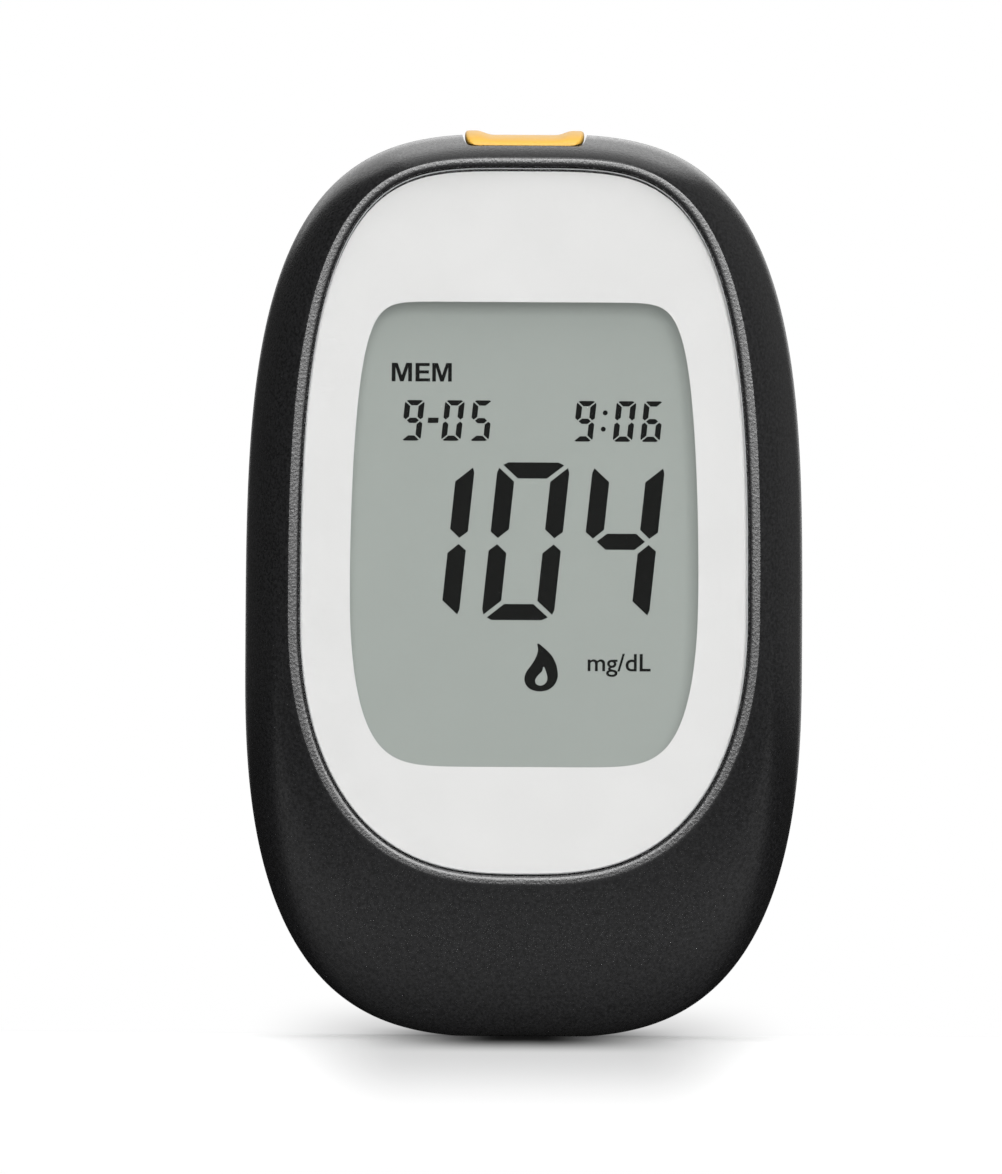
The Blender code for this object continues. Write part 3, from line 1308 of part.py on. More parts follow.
def set_key():
    tip = tactile_switch("set_switch", SET_KEY_Z)
    top = SET_WELL_FLOOR_DEPTH + SET_KEY_HEAD
    flange_back = SET_WELL_INNER - CLEARANCE
    flange_front = flange_back - SET_KEY_FLANGE_THICKNESS
    profile = [
        (0, top),
        (SET_KEY_RADIUS - MAIN_KEY_EDGE / 2, top),
        (SET_KEY_RADIUS, top - MAIN_KEY_EDGE / 2),
        (SET_KEY_RADIUS, flange_back),
        (SET_KEY_RADIUS + SET_KEY_FLANGE, flange_back),
        (SET_KEY_RADIUS + SET_KEY_FLANGE, flange_front),
        (PLUNGER_RADIUS, flange_front),
        (PLUNGER_RADIUS, tip + CLEARANCE),
        (0, tip + CLEARANCE),
    ]
    key = turned("set_key", 0, SET_KEY_Z, profile, "key_plastic", sides=SMALL_ROUND_SIDE_COUNT)
    move_origin(key, 0, flange_front, SET_KEY_Z)


# Battery door, cell and contacts


def hook_spans():
    outer = DOOR_HALF - HOOK_INSET
    inner = outer - HOOK_WIDTH
    return {"left": (-outer, -inner), "right": (inner, outer)}


def battery_door():
    door = prism("battery_door", [DOOR], DOOR_INNER, BODY_DEPTH, "black_housing")
    soften(door, DOOR_EDGE_BEVEL)
    tab_back = DOOR_INNER - CLEARANCE * 2
    tab_depths = (tab_back - HOOK_THICKNESS, tab_back)
    root_depths = (tab_depths[0], DOOR_INNER + DOOR_THICKNESS / 2)
    root_range = (DOOR_BOTTOM + CLEARANCE, DOOR_BOTTOM + CLEARANCE + HOOK_ROOT)
    for side, span in hook_spans().items():
        join(door, box(f"hook_root_{side}", span, root_depths, root_range))
        tab_range = (DOOR_BOTTOM - HOOK_REACH, root_range[1])
        join(door, box(f"hook_tab_{side}", span, tab_depths, tab_range))
    half = LATCH_WIDTH / 2
    slit_range = (DOOR_TOP - LATCH_LENGTH, DOOR_TOP + OVERRUN)
    through = (DOOR_INNER - OVERRUN, BODY_DEPTH + OVERRUN)
    cut(door, box("latch_slit_left", (-half - LATCH_SLIT, -half), through, slit_range))
    cut(door, box("latch_slit_right", (half, half + LATCH_SLIT), through, slit_range))
    nose_depths = (tab_back - LATCH_NOSE_THICKNESS, tab_back)
    nose_root = (nose_depths[0], DOOR_INNER + DOOR_THICKNESS / 2)
    nose_half = mirrored(LATCH_NOSE_WIDTH / 2)
    join(door, box("latch_root", nose_half, nose_root, (DOOR_TOP - LATCH_ROOT, DOOR_TOP - CLEARANCE)))
    nose_range = (DOOR_TOP - LATCH_ROOT, DOOR_TOP + LATCH_NOSE_REACH)
    join(door, box("latch_nose", nose_half, nose_depths, nose_range))
    for groove in range(GRIP_GROOVES):
        z = DOOR_TOP - LATCH_LENGTH - GRIP_GROOVE_PITCH * (groove + 1)
        cut(
            door,
            box(
                f"grip_groove_{groove}",
                mirrored(GRIP_GROOVE_WIDTH / 2),
                (BODY_DEPTH - GRIP_GROOVE_DEPTH, BODY_DEPTH + OVERRUN),
                (z - GRIP_GROOVE_HEIGHT / 2, z + GRIP_GROOVE_HEIGHT / 2),
            ),
        )
    rib_depths = (CELL_DEPTH + CELL_THICKNESS + CLEARANCE, DOOR_INNER + DOOR_THICKNESS / 2)
    rib_range = (CELL_Z - DOOR_RIB_LENGTH / 2, CELL_Z + DOOR_RIB_LENGTH / 2)
    for side, x in (("left", -DOOR_RIB_SPACING / 2), ("right", DOOR_RIB_SPACING / 2)):
        span = (x - DOOR_RIB_WIDTH / 2, x + DOOR_RIB_WIDTH / 2)
        join(door, box(f"door_rib_{side}", span, rib_depths, rib_range))
    move_origin(door, 0, BODY_DEPTH, DOOR_BOTTOM)


def coin_cell_and_contacts():
    back = CELL_DEPTH + CELL_THICKNESS
    profile = [
        (0, back),
        (CELL_RADIUS - CELL_BEVEL, back),
        (CELL_RADIUS, back - CELL_BEVEL),
        (CELL_RADIUS, CELL_DEPTH + CELL_STEP),
        (CELL_STEP_RADIUS, CELL_DEPTH + CELL_STEP),
        (CELL_STEP_RADIUS, CELL_DEPTH),
        (0, CELL_DEPTH),
    ]
    turned("coin_cell", 0, CELL_Z, profile, "cell_steel", sides=LARGE_ROUND_SIDE_COUNT)

    thick = CELL_CONTACT_THICKNESS
    arm = POCKET_FLOOR + thick / 2
    low = CELL_Z - CELL_CONTACT_REACH
    foot = low + CELL_CONTACT_FOOT
    centre_leaf = [
        (MOUNTED_DEPTH, low),
        (MOUNTED_DEPTH, foot + thick),
        (arm, foot + thick),
        (arm, CELL_Z + CELL_CONTACT_FOOT),
        (arm + thick, CELL_Z + CELL_CONTACT_FOOT),
        (arm + thick, foot),
        (MOUNTED_DEPTH + thick, foot),
        (MOUNTED_DEPTH + thick, low),
    ]
    half = CELL_CONTACT_WIDTH / 2
    prism(
        "battery_negative_contact", [np.array(centre_leaf)], -half, half, "spring_steel", across=True
    )
    side_x = CELL_RADIUS + CLEARANCE
    side_top = CELL_DEPTH + SIDE_CONTACT_HEIGHT - CLEARANCE * 2 - CELL_STEP
    contact = box(
        "battery_positive_contact",
        (side_x, side_x + thick),
        (MOUNTED_DEPTH, side_top),
        (CELL_Z - half, CELL_Z + half),
        "spring_steel",
    )
    foot_span = (side_x + thick / 2, side_x + CELL_CONTACT_FOOT)
    foot_depths = (MOUNTED_DEPTH, MOUNTED_DEPTH + thick)
    join(contact, box("side_contact_foot", foot_span, foot_depths, (CELL_Z - half, CELL_Z + half)))


# Fasteners


def case_screws():
    shoulder = SCREW_HEAD_DEPTH - SCREW_HEAD_HEIGHT
    for name, (x, z) in SCREW_PLACES.items():
        profile = [
            (0, SCREW_HEAD_DEPTH),
            (SCREW_HEAD_RADIUS, SCREW_HEAD_DEPTH),
            (SCREW_HEAD_RADIUS, shoulder),
            (SCREW_RADIUS, shoulder),
            (SCREW_RADIUS, SCREW_TIP_DEPTH + SCREW_RADIUS),
            (0, SCREW_TIP_DEPTH),
        ]
        screw = turned(name, x, z, profile, "screw_steel", sides=SMALL_ROUND_SIDE_COUNT)
        long, short = SCREW_CROSS_LENGTH / 2, SCREW_CROSS_WIDTH / 2
        drive = (SCREW_HEAD_DEPTH - SCREW_CROSS_DEPTH, SCREW_HEAD_DEPTH + OVERRUN)
        cut(screw, box(name + "_drive_a", (x - long, x + long), drive, (z - short, z + short)))
        cut(screw, box(name + "_drive_b", (x - short, x + short), drive, (z - long, z + long)))


def shade_parts():
    """Smooth shading on the curved faces, sharp at the edges."""
    for obj in PARTS.objects:
        obj.data.shade_smooth()
        obj.data.set_sharp_from_angle(angle=SMOOTH_ANGLE)


front_housing()
rear_housing()
face_and_display()
circuit_board()
strip_port()
strip_connector()
ejector()
main_key()
set_key()
battery_door()
coin_cell_and_contacts()
case_screws()
shade_parts()
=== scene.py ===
"""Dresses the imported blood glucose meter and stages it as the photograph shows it.

The frame comes from the CAD: X across, Z up, the face on the -Y side, the foot at z = 0. Sizes of the meter
are in millimetres until a mesh is made, and a depth is measured backwards from the crest of the lip round
the face. Every new piece is a closed surface made of rings of points, and the finishes are procedural.
"""

from __future__ import annotations

import logging
import math
from dataclasses import dataclass, field
from enum import Enum
from typing import Any, Iterable, Sequence, Union

import bmesh
import bpy
import numpy as np
from mathutils import Matrix, Vector

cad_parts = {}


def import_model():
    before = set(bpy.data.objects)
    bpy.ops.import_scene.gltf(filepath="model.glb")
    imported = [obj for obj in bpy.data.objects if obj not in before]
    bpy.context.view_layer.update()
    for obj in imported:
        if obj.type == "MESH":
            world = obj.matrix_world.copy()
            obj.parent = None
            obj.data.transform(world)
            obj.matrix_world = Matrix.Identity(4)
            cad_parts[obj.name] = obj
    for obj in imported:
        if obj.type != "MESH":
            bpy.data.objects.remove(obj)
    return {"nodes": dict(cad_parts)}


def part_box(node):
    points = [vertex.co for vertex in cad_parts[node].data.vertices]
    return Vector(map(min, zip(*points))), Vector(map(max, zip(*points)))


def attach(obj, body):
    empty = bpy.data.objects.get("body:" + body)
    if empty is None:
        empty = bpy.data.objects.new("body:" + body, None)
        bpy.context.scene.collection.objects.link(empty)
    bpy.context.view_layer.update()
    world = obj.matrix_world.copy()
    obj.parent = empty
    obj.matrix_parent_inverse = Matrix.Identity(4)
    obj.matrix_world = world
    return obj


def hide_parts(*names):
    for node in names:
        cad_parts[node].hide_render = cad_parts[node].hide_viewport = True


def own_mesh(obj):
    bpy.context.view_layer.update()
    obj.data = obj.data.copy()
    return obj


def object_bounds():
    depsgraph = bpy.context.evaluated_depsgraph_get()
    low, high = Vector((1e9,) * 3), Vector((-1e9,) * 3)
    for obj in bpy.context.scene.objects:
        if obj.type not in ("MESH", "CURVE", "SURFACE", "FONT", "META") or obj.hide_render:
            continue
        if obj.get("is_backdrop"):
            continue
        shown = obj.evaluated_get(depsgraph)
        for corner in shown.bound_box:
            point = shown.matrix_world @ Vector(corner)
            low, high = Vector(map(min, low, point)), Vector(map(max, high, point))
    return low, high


LOG = logging.getLogger("meter")

Array = np.ndarray
Obj = bpy.types.Object
Socket = bpy.types.NodeSocket
Tree = bpy.types.NodeTree
Pair = tuple[float, float]
Triple = tuple[float, float, float]
Number = Union[float, Array]
Values = dict[Union[str, int], Any]
Block = tuple[str, Pair, Pair, Pair, float]

MM = 0.001
QUARTER = math.pi / 2


class Body(str, Enum):
    """The CAD bodies that pieces ride on."""

    CASE = "case"
    EJECTOR = "ejector"
    MAIN_BUTTON = "main_button"
    SET_BUTTON = "set_button"
    DOOR = "door"


# Sizes shared by the sub-assemblies


@dataclass(frozen=True)
class Stack:
    """Depths through the meter, from the crest of the lip to the flat back."""

    lens: float = 0.6
    film: float = 1.2
    ledge: float = 3.2
    cavity: float = 4.3
    display: float = 4.6
    display_back: float = 6.3
    parting: float = 8.4
    board: float = 8.5
    board_back: float = 9.5
    tub: float = 10.3
    pocket_floor: float = 11.2
    cell: float = 11.7
    key_seat: float = 12.6
    screw_head: float = 14.0
    cell_back: float = 14.9
    door_inner: float = 15.9
    back: float = 17.4

    def y(self, depth: Number) -> Number:
        """Y at a depth."""
        return depth - self.back / 2


@dataclass(frozen=True)
class Plan:
    """Sizes seen from the back that a hole and the piece in it share."""

    door_half: float = 11.9
    door: Pair = (8.8, 39.2)
    door_corner: float = 3.6
    cell_z: float = 20.7
    key_z: float = 49.35
    key_radius: float = 5.4
    set_z: float = 34.4


STACK, PLAN = Stack(), Plan()
WALL, GAP = 1.8, 0.3
RING_POINTS = 384


# Outlines: closed loops of (x, z) points, clockwise from the middle of the top


@dataclass(frozen=True)
class Egg:
    """An egg outline: two half superellipses that meet at the widest height.

    Formula: x = half_width * cos(t) ^ (2 / p) and z = widest + reach * sin(t) ^ (2 / q), with its own pair
    of exponents above and below the widest height, resampled at even steps along the curve.
    """

    half_width: float
    top: float
    bottom: float
    widest: float
    roundness: tuple[float, float, float, float]

    def points(self) -> Array:
        """The outline as rows of (x, z)."""
        upper_z, upper_x, lower_z, lower_x = self.roundness
        turn = np.linspace(QUARTER, 0, 4000)
        cosine, sine = np.clip(np.cos(turn), 0, 1), np.sin(turn)
        high = self.widest + (self.top - self.widest) * sine ** (2 / upper_z)
        low = self.widest - (self.widest - self.bottom) * sine[::-1] ** (2 / lower_z)
        upper = np.column_stack([self.half_width * cosine ** (2 / upper_x), high])
        lower = np.column_stack([self.half_width * cosine[::-1] ** (2 / lower_x), low])
        side = np.vstack([upper, lower[1:]])
        side[0, 0] = side[-1, 0] = 0
        right = resampled(side, RING_POINTS // 2 + 1)
        return np.vstack([right, right[-2:0:-1] * (-1, 1)])


def resampled(line: Array, count: int) -> Array:
    """The line with points at even steps along its length.

    Args:
        line: rows of coordinates.
        count: the number of points wanted.

    Returns:
        An array of count rows.
    """
    steps = np.linalg.norm(np.diff(line, axis=0), axis=1)
    along = np.concatenate([[0], np.cumsum(steps)])
    wanted = np.linspace(0, along[-1], count)
    return np.column_stack([np.interp(wanted, along, line[:, k]) for k in range(line.shape[1])])


BODY = Egg(26.5, 85.9, -0.15, 35.65, (3.5, 3.25, 2.6, 3.15)).points()
RIM = Egg(21.26, 82.52, 15.46, 39.95, (2.97, 3.98, 2.19, 2.75)).points()
PRINT = Egg(21.23, 82.2, 15.5, 39.92, (2.97, 3.98, 2.19, 2.75)).points()
WINDOW = Egg(16.55, 69.8, 25.65, 42.87, (1.87, 13.7, 2.27, 7.3)).points()


def offset(outline: Array, distance: Number) -> Array:
    """Moves each point of a clockwise outline along its outward normal.

    Args:
        outline: rows of (x, z).
        distance: how far, negative for inwards, alike or one for each point.

    Returns:
        The moved outline.
    """
    tangent = np.roll(outline, -1, axis=0) - np.roll(outline, 1, axis=0)
    tangent /= np.maximum(np.linalg.norm(tangent, axis=1), 1e-12)[:, None]
    return outline + np.reshape(distance, (-1, 1)) * np.column_stack([-tangent[:, 1], tangent[:, 0]])


def rounded(corners: Sequence[Pair], radii: Sequence[float], steps: int = 8) -> Array:
    """A polygon with each corner drawn as a short curve.

    Formula: (1 - t)^2 A + 2 t (1 - t) C + t^2 B, where C is the corner and A and B lie a radius before and
    after it.

    Args:
        corners: the polygon's corners, clockwise.
        radii: one cut-back distance for each corner.
        steps: points on each curve, less one.

    Returns:
        An array of (x, z) rows.
    """
    here = np.array(corners, float)
    before, after = np.roll(here, 1, axis=0) - here, np.roll(here, -1, axis=0) - here
    reach = np.array(radii, float)[:, None]
    start = here + before / np.linalg.norm(before, axis=1)[:, None] * reach
    end = here + after / np.linalg.norm(after, axis=1)[:, None] * reach
    t = np.linspace(0, 1, steps + 1)[None, :, None]
    curve = (1 - t) ** 2 * start[:, None] + 2 * t * (1 - t) * here[:, None] + t**2 * end[:, None]
    return curve.reshape(-1, 2)


def rectangle(x: Pair, z: Pair, radius: float, steps: int = 8) -> Array:
    """A rectangle with round corners, clockwise.

    Formula: each corner is its centre plus radius * (cos a, sin a) over a quarter turn.

    Args:
        x: left and right.
        z: bottom and top.
        radius: of the corners.
        steps: points on each corner, less one.

    Returns:
        An array of (x, z) rows.
    """
    left, right, low, high = x[0] + radius, x[1] - radius, z[0] + radius, z[1] - radius
    centres = np.array([(right, high), (right, low), (left, low), (left, high)])
    turn = QUARTER * (np.array([1, 0, -1, -2])[:, None] - np.linspace(0, 1, steps + 1)[None, :])
    arc = radius * np.stack([np.cos(turn), np.sin(turn)], axis=-1)
    return (centres[:, None] + arc).reshape(-1, 2)


def circle(x: float, z: float, radius: float, count: int = 64) -> Array:
    """A circle as a clockwise outline."""
    turn = QUARTER - np.linspace(0, 2 * math.pi, count, endpoint=False)
    return np.column_stack([x + radius * np.cos(turn), z + radius * np.sin(turn)])


def fillet(radius: float, steps: int) -> list[Pair]:
    """A rounded edge from wall to face as (drawn in, set down): r (1 - cos a) and r (1 - sin a)."""
    turn = np.linspace(0, QUARTER, steps + 1 if radius else 1)
    return list(zip(radius * (1 - np.cos(turn)), radius * (1 - np.sin(turn))))


def smooth_loop(points: Array, steps: int = 12) -> Array:
    """A closed Catmull-Rom curve through points, ending where it starts.

    Args:
        points: rows of coordinates.
        steps: points on each span.

    Returns:
        The curve's points.
    """
    a, b, c, d = (np.roll(points, shift, axis=0)[:, None] for shift in (1, 0, -1, -2))
    t = np.linspace(0, 1, steps, endpoint=False)[None, :, None]
    curve = 0.5 * (2 * b + (c - a) * t + (2 * a - 5 * b + 4 * c - d) * t**2 + (3 * b - 3 * c + d - a) * t**3)
    line = curve.reshape(-1, points.shape[1])
    return np.vstack([line, line[:1]])


# Surfaces: rings of points joined into closed meshes


def linked(name: str, data: Any) -> Obj:
    """Puts a new object into the scene.

    Args:
        name: the object's name.
        data: its mesh, curve, lamp or camera.

    Returns:
        The object.
    """
    obj = bpy.data.objects.new(name, data)
    bpy.context.scene.collection.objects.link(obj)
    return obj


def closed(name: str, points: Array, faces: list) -> Obj:
    """A closed mesh of points in millimetres, its doubles merged and its faces turned outwards.

    Args:
        name: the object's name.
        points: rows of (x, y, z).
        faces: lists of point numbers.

    Returns:
        The new object, linked to the scene.
    """
    mesh = bpy.data.meshes.new(name)
    mesh.from_pydata(points * MM, [], faces)
    solid = bmesh.new()
    solid.from_mesh(mesh)
    bmesh.ops.remove_doubles(solid, verts=solid.verts, dist=0.0005 * MM)
    bmesh.ops.recalc_face_normals(solid, faces=solid.faces)
    solid.to_mesh(mesh)
    solid.free()
    return linked(name, mesh)


def ring(outline: Array, depth: Number) -> Array:
    """An outline put at a depth: rows of (x, y, z)."""
    return np.column_stack([outline[:, 0], np.broadcast_to(STACK.y(depth), len(outline)), outline[:, 1]])


def skin(name: str, rings: Iterable[Array], wrap: bool = False) -> Obj:
    """A closed surface through rings of equal counts.

    Formula: point (i, j) is ring i's point j, and each cell between neighbours is a quad. The two end rings
    are capped, or joined to each other where wrap is true.

    Args:
        name: the object's name.
        rings: arrays of (x, y, z) rows.
        wrap: joins the last ring to the first, as round a tube.

    Returns:
        The new object.
    """
    grid = np.stack(list(rings))
    rows, columns = grid.shape[:2]
    index = np.arange(rows * columns).reshape(rows, columns)
    below = index if wrap else index[:-1]
    above = np.roll(index, -1, axis=0) if wrap else index[1:]
    quads = np.stack([below, above, np.roll(above, -1, axis=1), np.roll(below, -1, axis=1)], axis=-1)
    faces = quads.reshape(-1, 4).tolist()
    if not wrap:
        faces += [index[0].tolist(), index[-1][::-1].tolist()]
    return closed(name, grid.reshape(-1, 3), faces)


def turned(name: str, x: float, z: float, profile: Iterable[Pair], sides: int = 64) -> Obj:
    """A surface turned about an axis through the thickness: (radius, depth) pairs from pole to pole."""
    return skin(name, [ring(circle(x, z, radius, sides), depth) for radius, depth in profile])


def slab(
    name: str, outline: Array, depths: Pair, front_edge: float = 0.0, back_edge: float = 0.0, steps: int = 4
) -> Obj:
    """An outline carried straight back, with its front and back edges rounded.

    Args:
        name: the object's name.
        outline: rows of (x, z).
        depths: front and back.
        front_edge: radius at the front.
        back_edge: radius at the back.
        steps: rings on each rounded edge, less one.

    Returns:
        The new object.
    """
    front, back = fillet(front_edge, steps)[::-1], fillet(back_edge, steps)
    rings = [ring(offset(outline, -inset), depths[0] + down) for inset, down in front]
    rings += [ring(offset(outline, -inset), depths[1] - down) for inset, down in back]
    return skin(name, rings)


def block(name: str, x: Pair, depths: Pair, z: Pair, edge: float = 0.0) -> Obj:
    """A box with all its edges rounded a little, as a moulding has."""
    return slab(name, rectangle(x, z, max(edge, 0.01), 3), depths, edge, edge, 3)


def rod(radius: float, near: float, far: float) -> list[Pair]:
    """The profile of a plain cylinder between two depths."""
    return [(0, near), (radius, near), (radius, far), (0, far)]


def grounded(rings: Sequence[Array]) -> Array:
    """Lifts what lies below the floor up to it, so that the foot is flat.

    Args:
        rings: arrays of (x, y, z) rows.

    Returns:
        The rings as one array.
    """
    grid = np.stack(rings)
    grid[..., 2] = np.maximum(grid[..., 2], 0)
    return grid


def pocket(outline: Array, floor: float, mouth: float, flare: float, foot: float) -> Obj:
    """A cutter for a hole in the back: straight walls, a rounded mouth and a rounded foot.

    Args:
        outline: the hole's outline.
        floor: the depth of its floor.
        mouth: the depth of the face that it opens through.
        flare: radius of the rounded mouth.
        foot: radius of the rounded foot.

    Returns:
        The cutter.
    """
    rings = [ring(offset(outline, -down), floor + inset) for inset, down in fillet(foot, 4)]
    rings += [ring(offset(outline, inset), mouth - down) for inset, down in fillet(flare, 4)]
    return skin("cutter", [*rings, ring(offset(outline, flare), mouth + 2)])


def nail_scoop(bowl: float) -> Obj:
    """A cutter for the shallow bowl over the door's latch.

    Args:
        bowl: how deep it goes.

    Returns:
        The cutter, a sphere's cap.
    """
    turn = np.linspace(0, QUARTER, 9)
    profile = [*zip(2.6 * np.sin(turn), STACK.back - bowl * np.cos(turn)), (2.62, STACK.back + 1)]
    return turned("scoop", 0, PLAN.door[1] + 0.3, [*profile, (0, STACK.back + 1)])


def combine(target: Obj, tools: Sequence[Obj], operation: str) -> Obj:
    """One exact Boolean with several separate solids, applied at once.

    Args:
        target: the piece that changes.
        tools: solids that don't touch each other; they are used up.
        operation: DIFFERENCE or UNION.

    Returns:
        The target.
    """
    union = bmesh.new()
    for tool in tools:
        union.from_mesh(tool.data)
    mesh = bpy.data.meshes.new("tools")
    union.to_mesh(mesh)
    union.free()
    together = linked("tools", mesh)
    change = target.modifiers.new("change", "BOOLEAN")
    change.object, change.operation, change.solver = together, operation, "EXACT"
    graph = bpy.context.evaluated_depsgraph_get()
    target.data = bpy.data.meshes.new_from_object(target.evaluated_get(graph))
    target.modifiers.clear()
    for used in (*tools, together):
        bpy.data.objects.remove(used)
    return target


def carve(target: Obj, *tools: Obj) -> Obj:
    """Cuts the tools out of the target."""
    return combine(target, tools, "DIFFERENCE")


def weld(target: Obj, *tools: Obj) -> Obj:
    """Joins the tools to the target."""
    return combine(target, tools, "UNION")


def settle(obj: Obj, finish: "Finish", body: Body, node: str = "") -> Obj:
    """Shades a piece smooth with its edges kept, gives it its finish, parents it to the empty of the body
    that it rides on, and hides the CAD node that it stands for.

    Args:
        obj: the piece.
        finish: its finish.
        body: the CAD body that it moves with.
        node: the CAD node that it stands for, if any.

    Returns:
        The piece.
    """
    obj.data.materials.clear()
    obj.data.materials.append(finish.material())
    obj.data.shade_smooth()
    obj.data.set_sharp_from_angle(angle=math.radians(32))
    weighted = obj.modifiers.new("weighted", "WEIGHTED_NORMAL")
    weighted.keep_sharp, weighted.mode = True, "FACE_AREA"
    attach(obj, body.value)
    if node:
        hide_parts(node)
    LOG.info("%s: %d points, rides on %s", obj.name, len(obj.data.vertices), body.value)
    return obj


# Finishes


def linear(hex_colour: str) -> tuple[float, float, float, float]:
    """Turns an sRGB colour linear.

    Args:
        hex_colour: the colour as #RRGGBB.

    Returns:
        The linear RGBA that a shader takes.
    """
    channels = (int(hex_colour[i : i + 2], 16) / 255 for i in (1, 3, 5))
    red, green, blue = (c / 12.92 if c <= 0.04045 else ((c + 0.055) / 1.055) ** 2.4 for c in channels)
    return red, green, blue, 1.0


def cleared(owner: Any) -> Tree:
    """Gives a material or a world an empty node tree.

    Args:
        owner: the material or world.

    Returns:
        The tree.
    """
    owner.use_nodes = True
    owner.node_tree.nodes.clear()
    return owner.node_tree


def feed(tree: Tree, node: bpy.types.Node, values: Values) -> None:
    """Sets a node's attributes and inputs.

    Args:
        tree: the node tree.
        node: the node.
        values: attributes by name, and inputs by name or number, as a constant or the socket that feeds it.
    """
    for key, value in values.items():
        if isinstance(value, Socket):
            tree.links.new(value, node.inputs[key])
        elif isinstance(key, str) and hasattr(node, key):
            setattr(node, key, value)
        else:
            node.inputs[key].default_value = value


def add_node(tree: Tree, kind: str, values: Values) -> bpy.types.Node:
    """Adds a node and feeds it.

    Args:
        tree: the node tree.
        kind: the node's type, without the common prefix.
        values: what feed takes.

    Returns:
        The node.
    """
    node = tree.nodes.new("ShaderNode" + kind)
    feed(tree, node, values)
    return node


def calc(tree: Tree, operation: str, *terms: Union[Socket, float]) -> Socket:
    """A Math node's result for sockets and numbers."""
    return add_node(tree, "Math", {"operation": operation, **dict(enumerate(terms))}).outputs[0]


def ramp(tree: Tree, value: Socket, way: Pair, to: Pair = (0.0, 1.0), smooth: bool = True) -> Socket:
    """Carries a value's way over to another way, and holds it beyond its ends.

    Args:
        tree: the node tree.
        value: the value's socket.
        way: where its way starts and ends.
        to: the results at the start and at the end.
        smooth: a smoothstep and not a straight line.

    Returns:
        The result's socket.
    """
    values = {"interpolation_type": "SMOOTHSTEP" if smooth else "LINEAR", "Value": value}
    values |= {"From Min": way[0], "From Max": way[1], "To Min": to[0], "To Max": to[1]}
    return add_node(tree, "MapRange", values).outputs["Result"]


@dataclass(frozen=True)
class Finish:
    """A material made once and shared: a Principled shader whose inputs each kind of finish feeds."""

    name: str
    colour: str
    roughness: float = 0.5
    specular: float = 0.5

    def material(self) -> bpy.types.Material:
        """The material, made on first use."""
        made = bpy.data.materials.get(self.name)
        if made is None:
            made = bpy.data.materials.new(self.name)
            tree = cleared(made)
            values = {"Base Color": linear(self.colour), "Roughness": self.roughness}
            shader = add_node(tree, "BsdfPrincipled", {**values, "Specular IOR Level": self.specular})
            feed(tree, shader, self.dress(tree))
            add_node(tree, "OutputMaterial", {"Surface": self.surface(tree, shader.outputs["BSDF"])})
        return made

    def dress(self, tree: Tree) -> Values:
        """What makes this kind of finish.

        Args:
            tree: the material's nodes, to which it adds its own.

        Returns:
            The values and sockets that feed the shader.
        """
        return {}

    def surface(self, tree: Tree, shader: Socket) -> Socket:
        """What the material shows.

        Args:
            tree: the material's nodes.
            shader: the Principled shader's output.

        Returns:
            The socket that feeds the material's output.
        """
        return shader

    def place(self, tree: Tree) -> Socket:
        """Object coordinates, in metres."""
        return add_node(tree, "TexCoord", {}).outputs["Object"]

    def noise(self, tree: Tree, size: float, detail: float) -> Socket:
        """Even noise whose features are about size across."""
        values = {"Scale": 1 / (size * MM), "Detail": detail, "Vector": self.place(tree)}
        return add_node(tree, "TexNoise", values).outputs["Fac"]

    def between(self, tree: Tree, factor: Socket, low: float, high: float) -> Socket:
        """Noise from 0.3 to 0.7 spread over low to high."""
        return ramp(tree, factor, (0.3, 0.7), (low, high), False)

    def tinted(self, tree: Tree, factor: Socket, other: str) -> Socket:
        """The finish's colour mixed with another by a factor."""
        values = {"data_type": "RGBA", 6: linear(self.colour), 7: linear(other), "Factor": factor}
        return add_node(tree, "Mix", values).outputs[2]

    def bump(self, tree: Tree, height: Socket, relief: float) -> Socket:
        """A normal that follows a height whose full step is the relief."""
        return add_node(tree, "Bump", {"Distance": relief * MM, "Height": height}).outputs["Normal"]


@dataclass(frozen=True)
class Moulded(Finish):
    """Injection-moulded plastic: the mould's spark-eroded grain, with a slight drift of colour and gloss."""

    drift: str = "#303031"
    grain: float = 0.35
    relief: float = 0.012
    gloss_drift: float = 0.05

    def dress(self, tree: Tree) -> Values:
        """Grain, colour drift and gloss drift, as the base class says."""
        fine, drift = self.noise(tree, self.grain, 1.0), self.gloss_drift
        gloss = self.between(tree, fine, self.roughness + drift, self.roughness - drift)
        tint = self.tinted(tree, self.between(tree, fine, 0, 1), self.drift)
        return {"Base Color": tint, "Roughness": gloss, "Normal": self.bump(tree, fine, self.relief)}


@dataclass(frozen=True)
class Printed(Finish):
    """Screen-printed ink on film, seen through the lens: even, with a painted glow where one is given."""

    drift: str = "#E6E6E3"
    # lit: colour of a painted glow, and the next field its strength; it lightens shade on the piece though
    # no lamp is there
    lit: str = "#000000"
    painted_glow: float = 0.0
    blot: float = 6.0

    def dress(self, tree: Tree) -> Values:
        """A faint unevenness of the ink, and a painted glow that lightens its shade."""
        ink = self.tinted(tree, self.between(tree, self.noise(tree, self.blot, 3.0), 0, 1), self.drift)
        return {"Base Color": ink, "Emission Color": linear(self.lit), "Emission Strength": self.painted_glow}


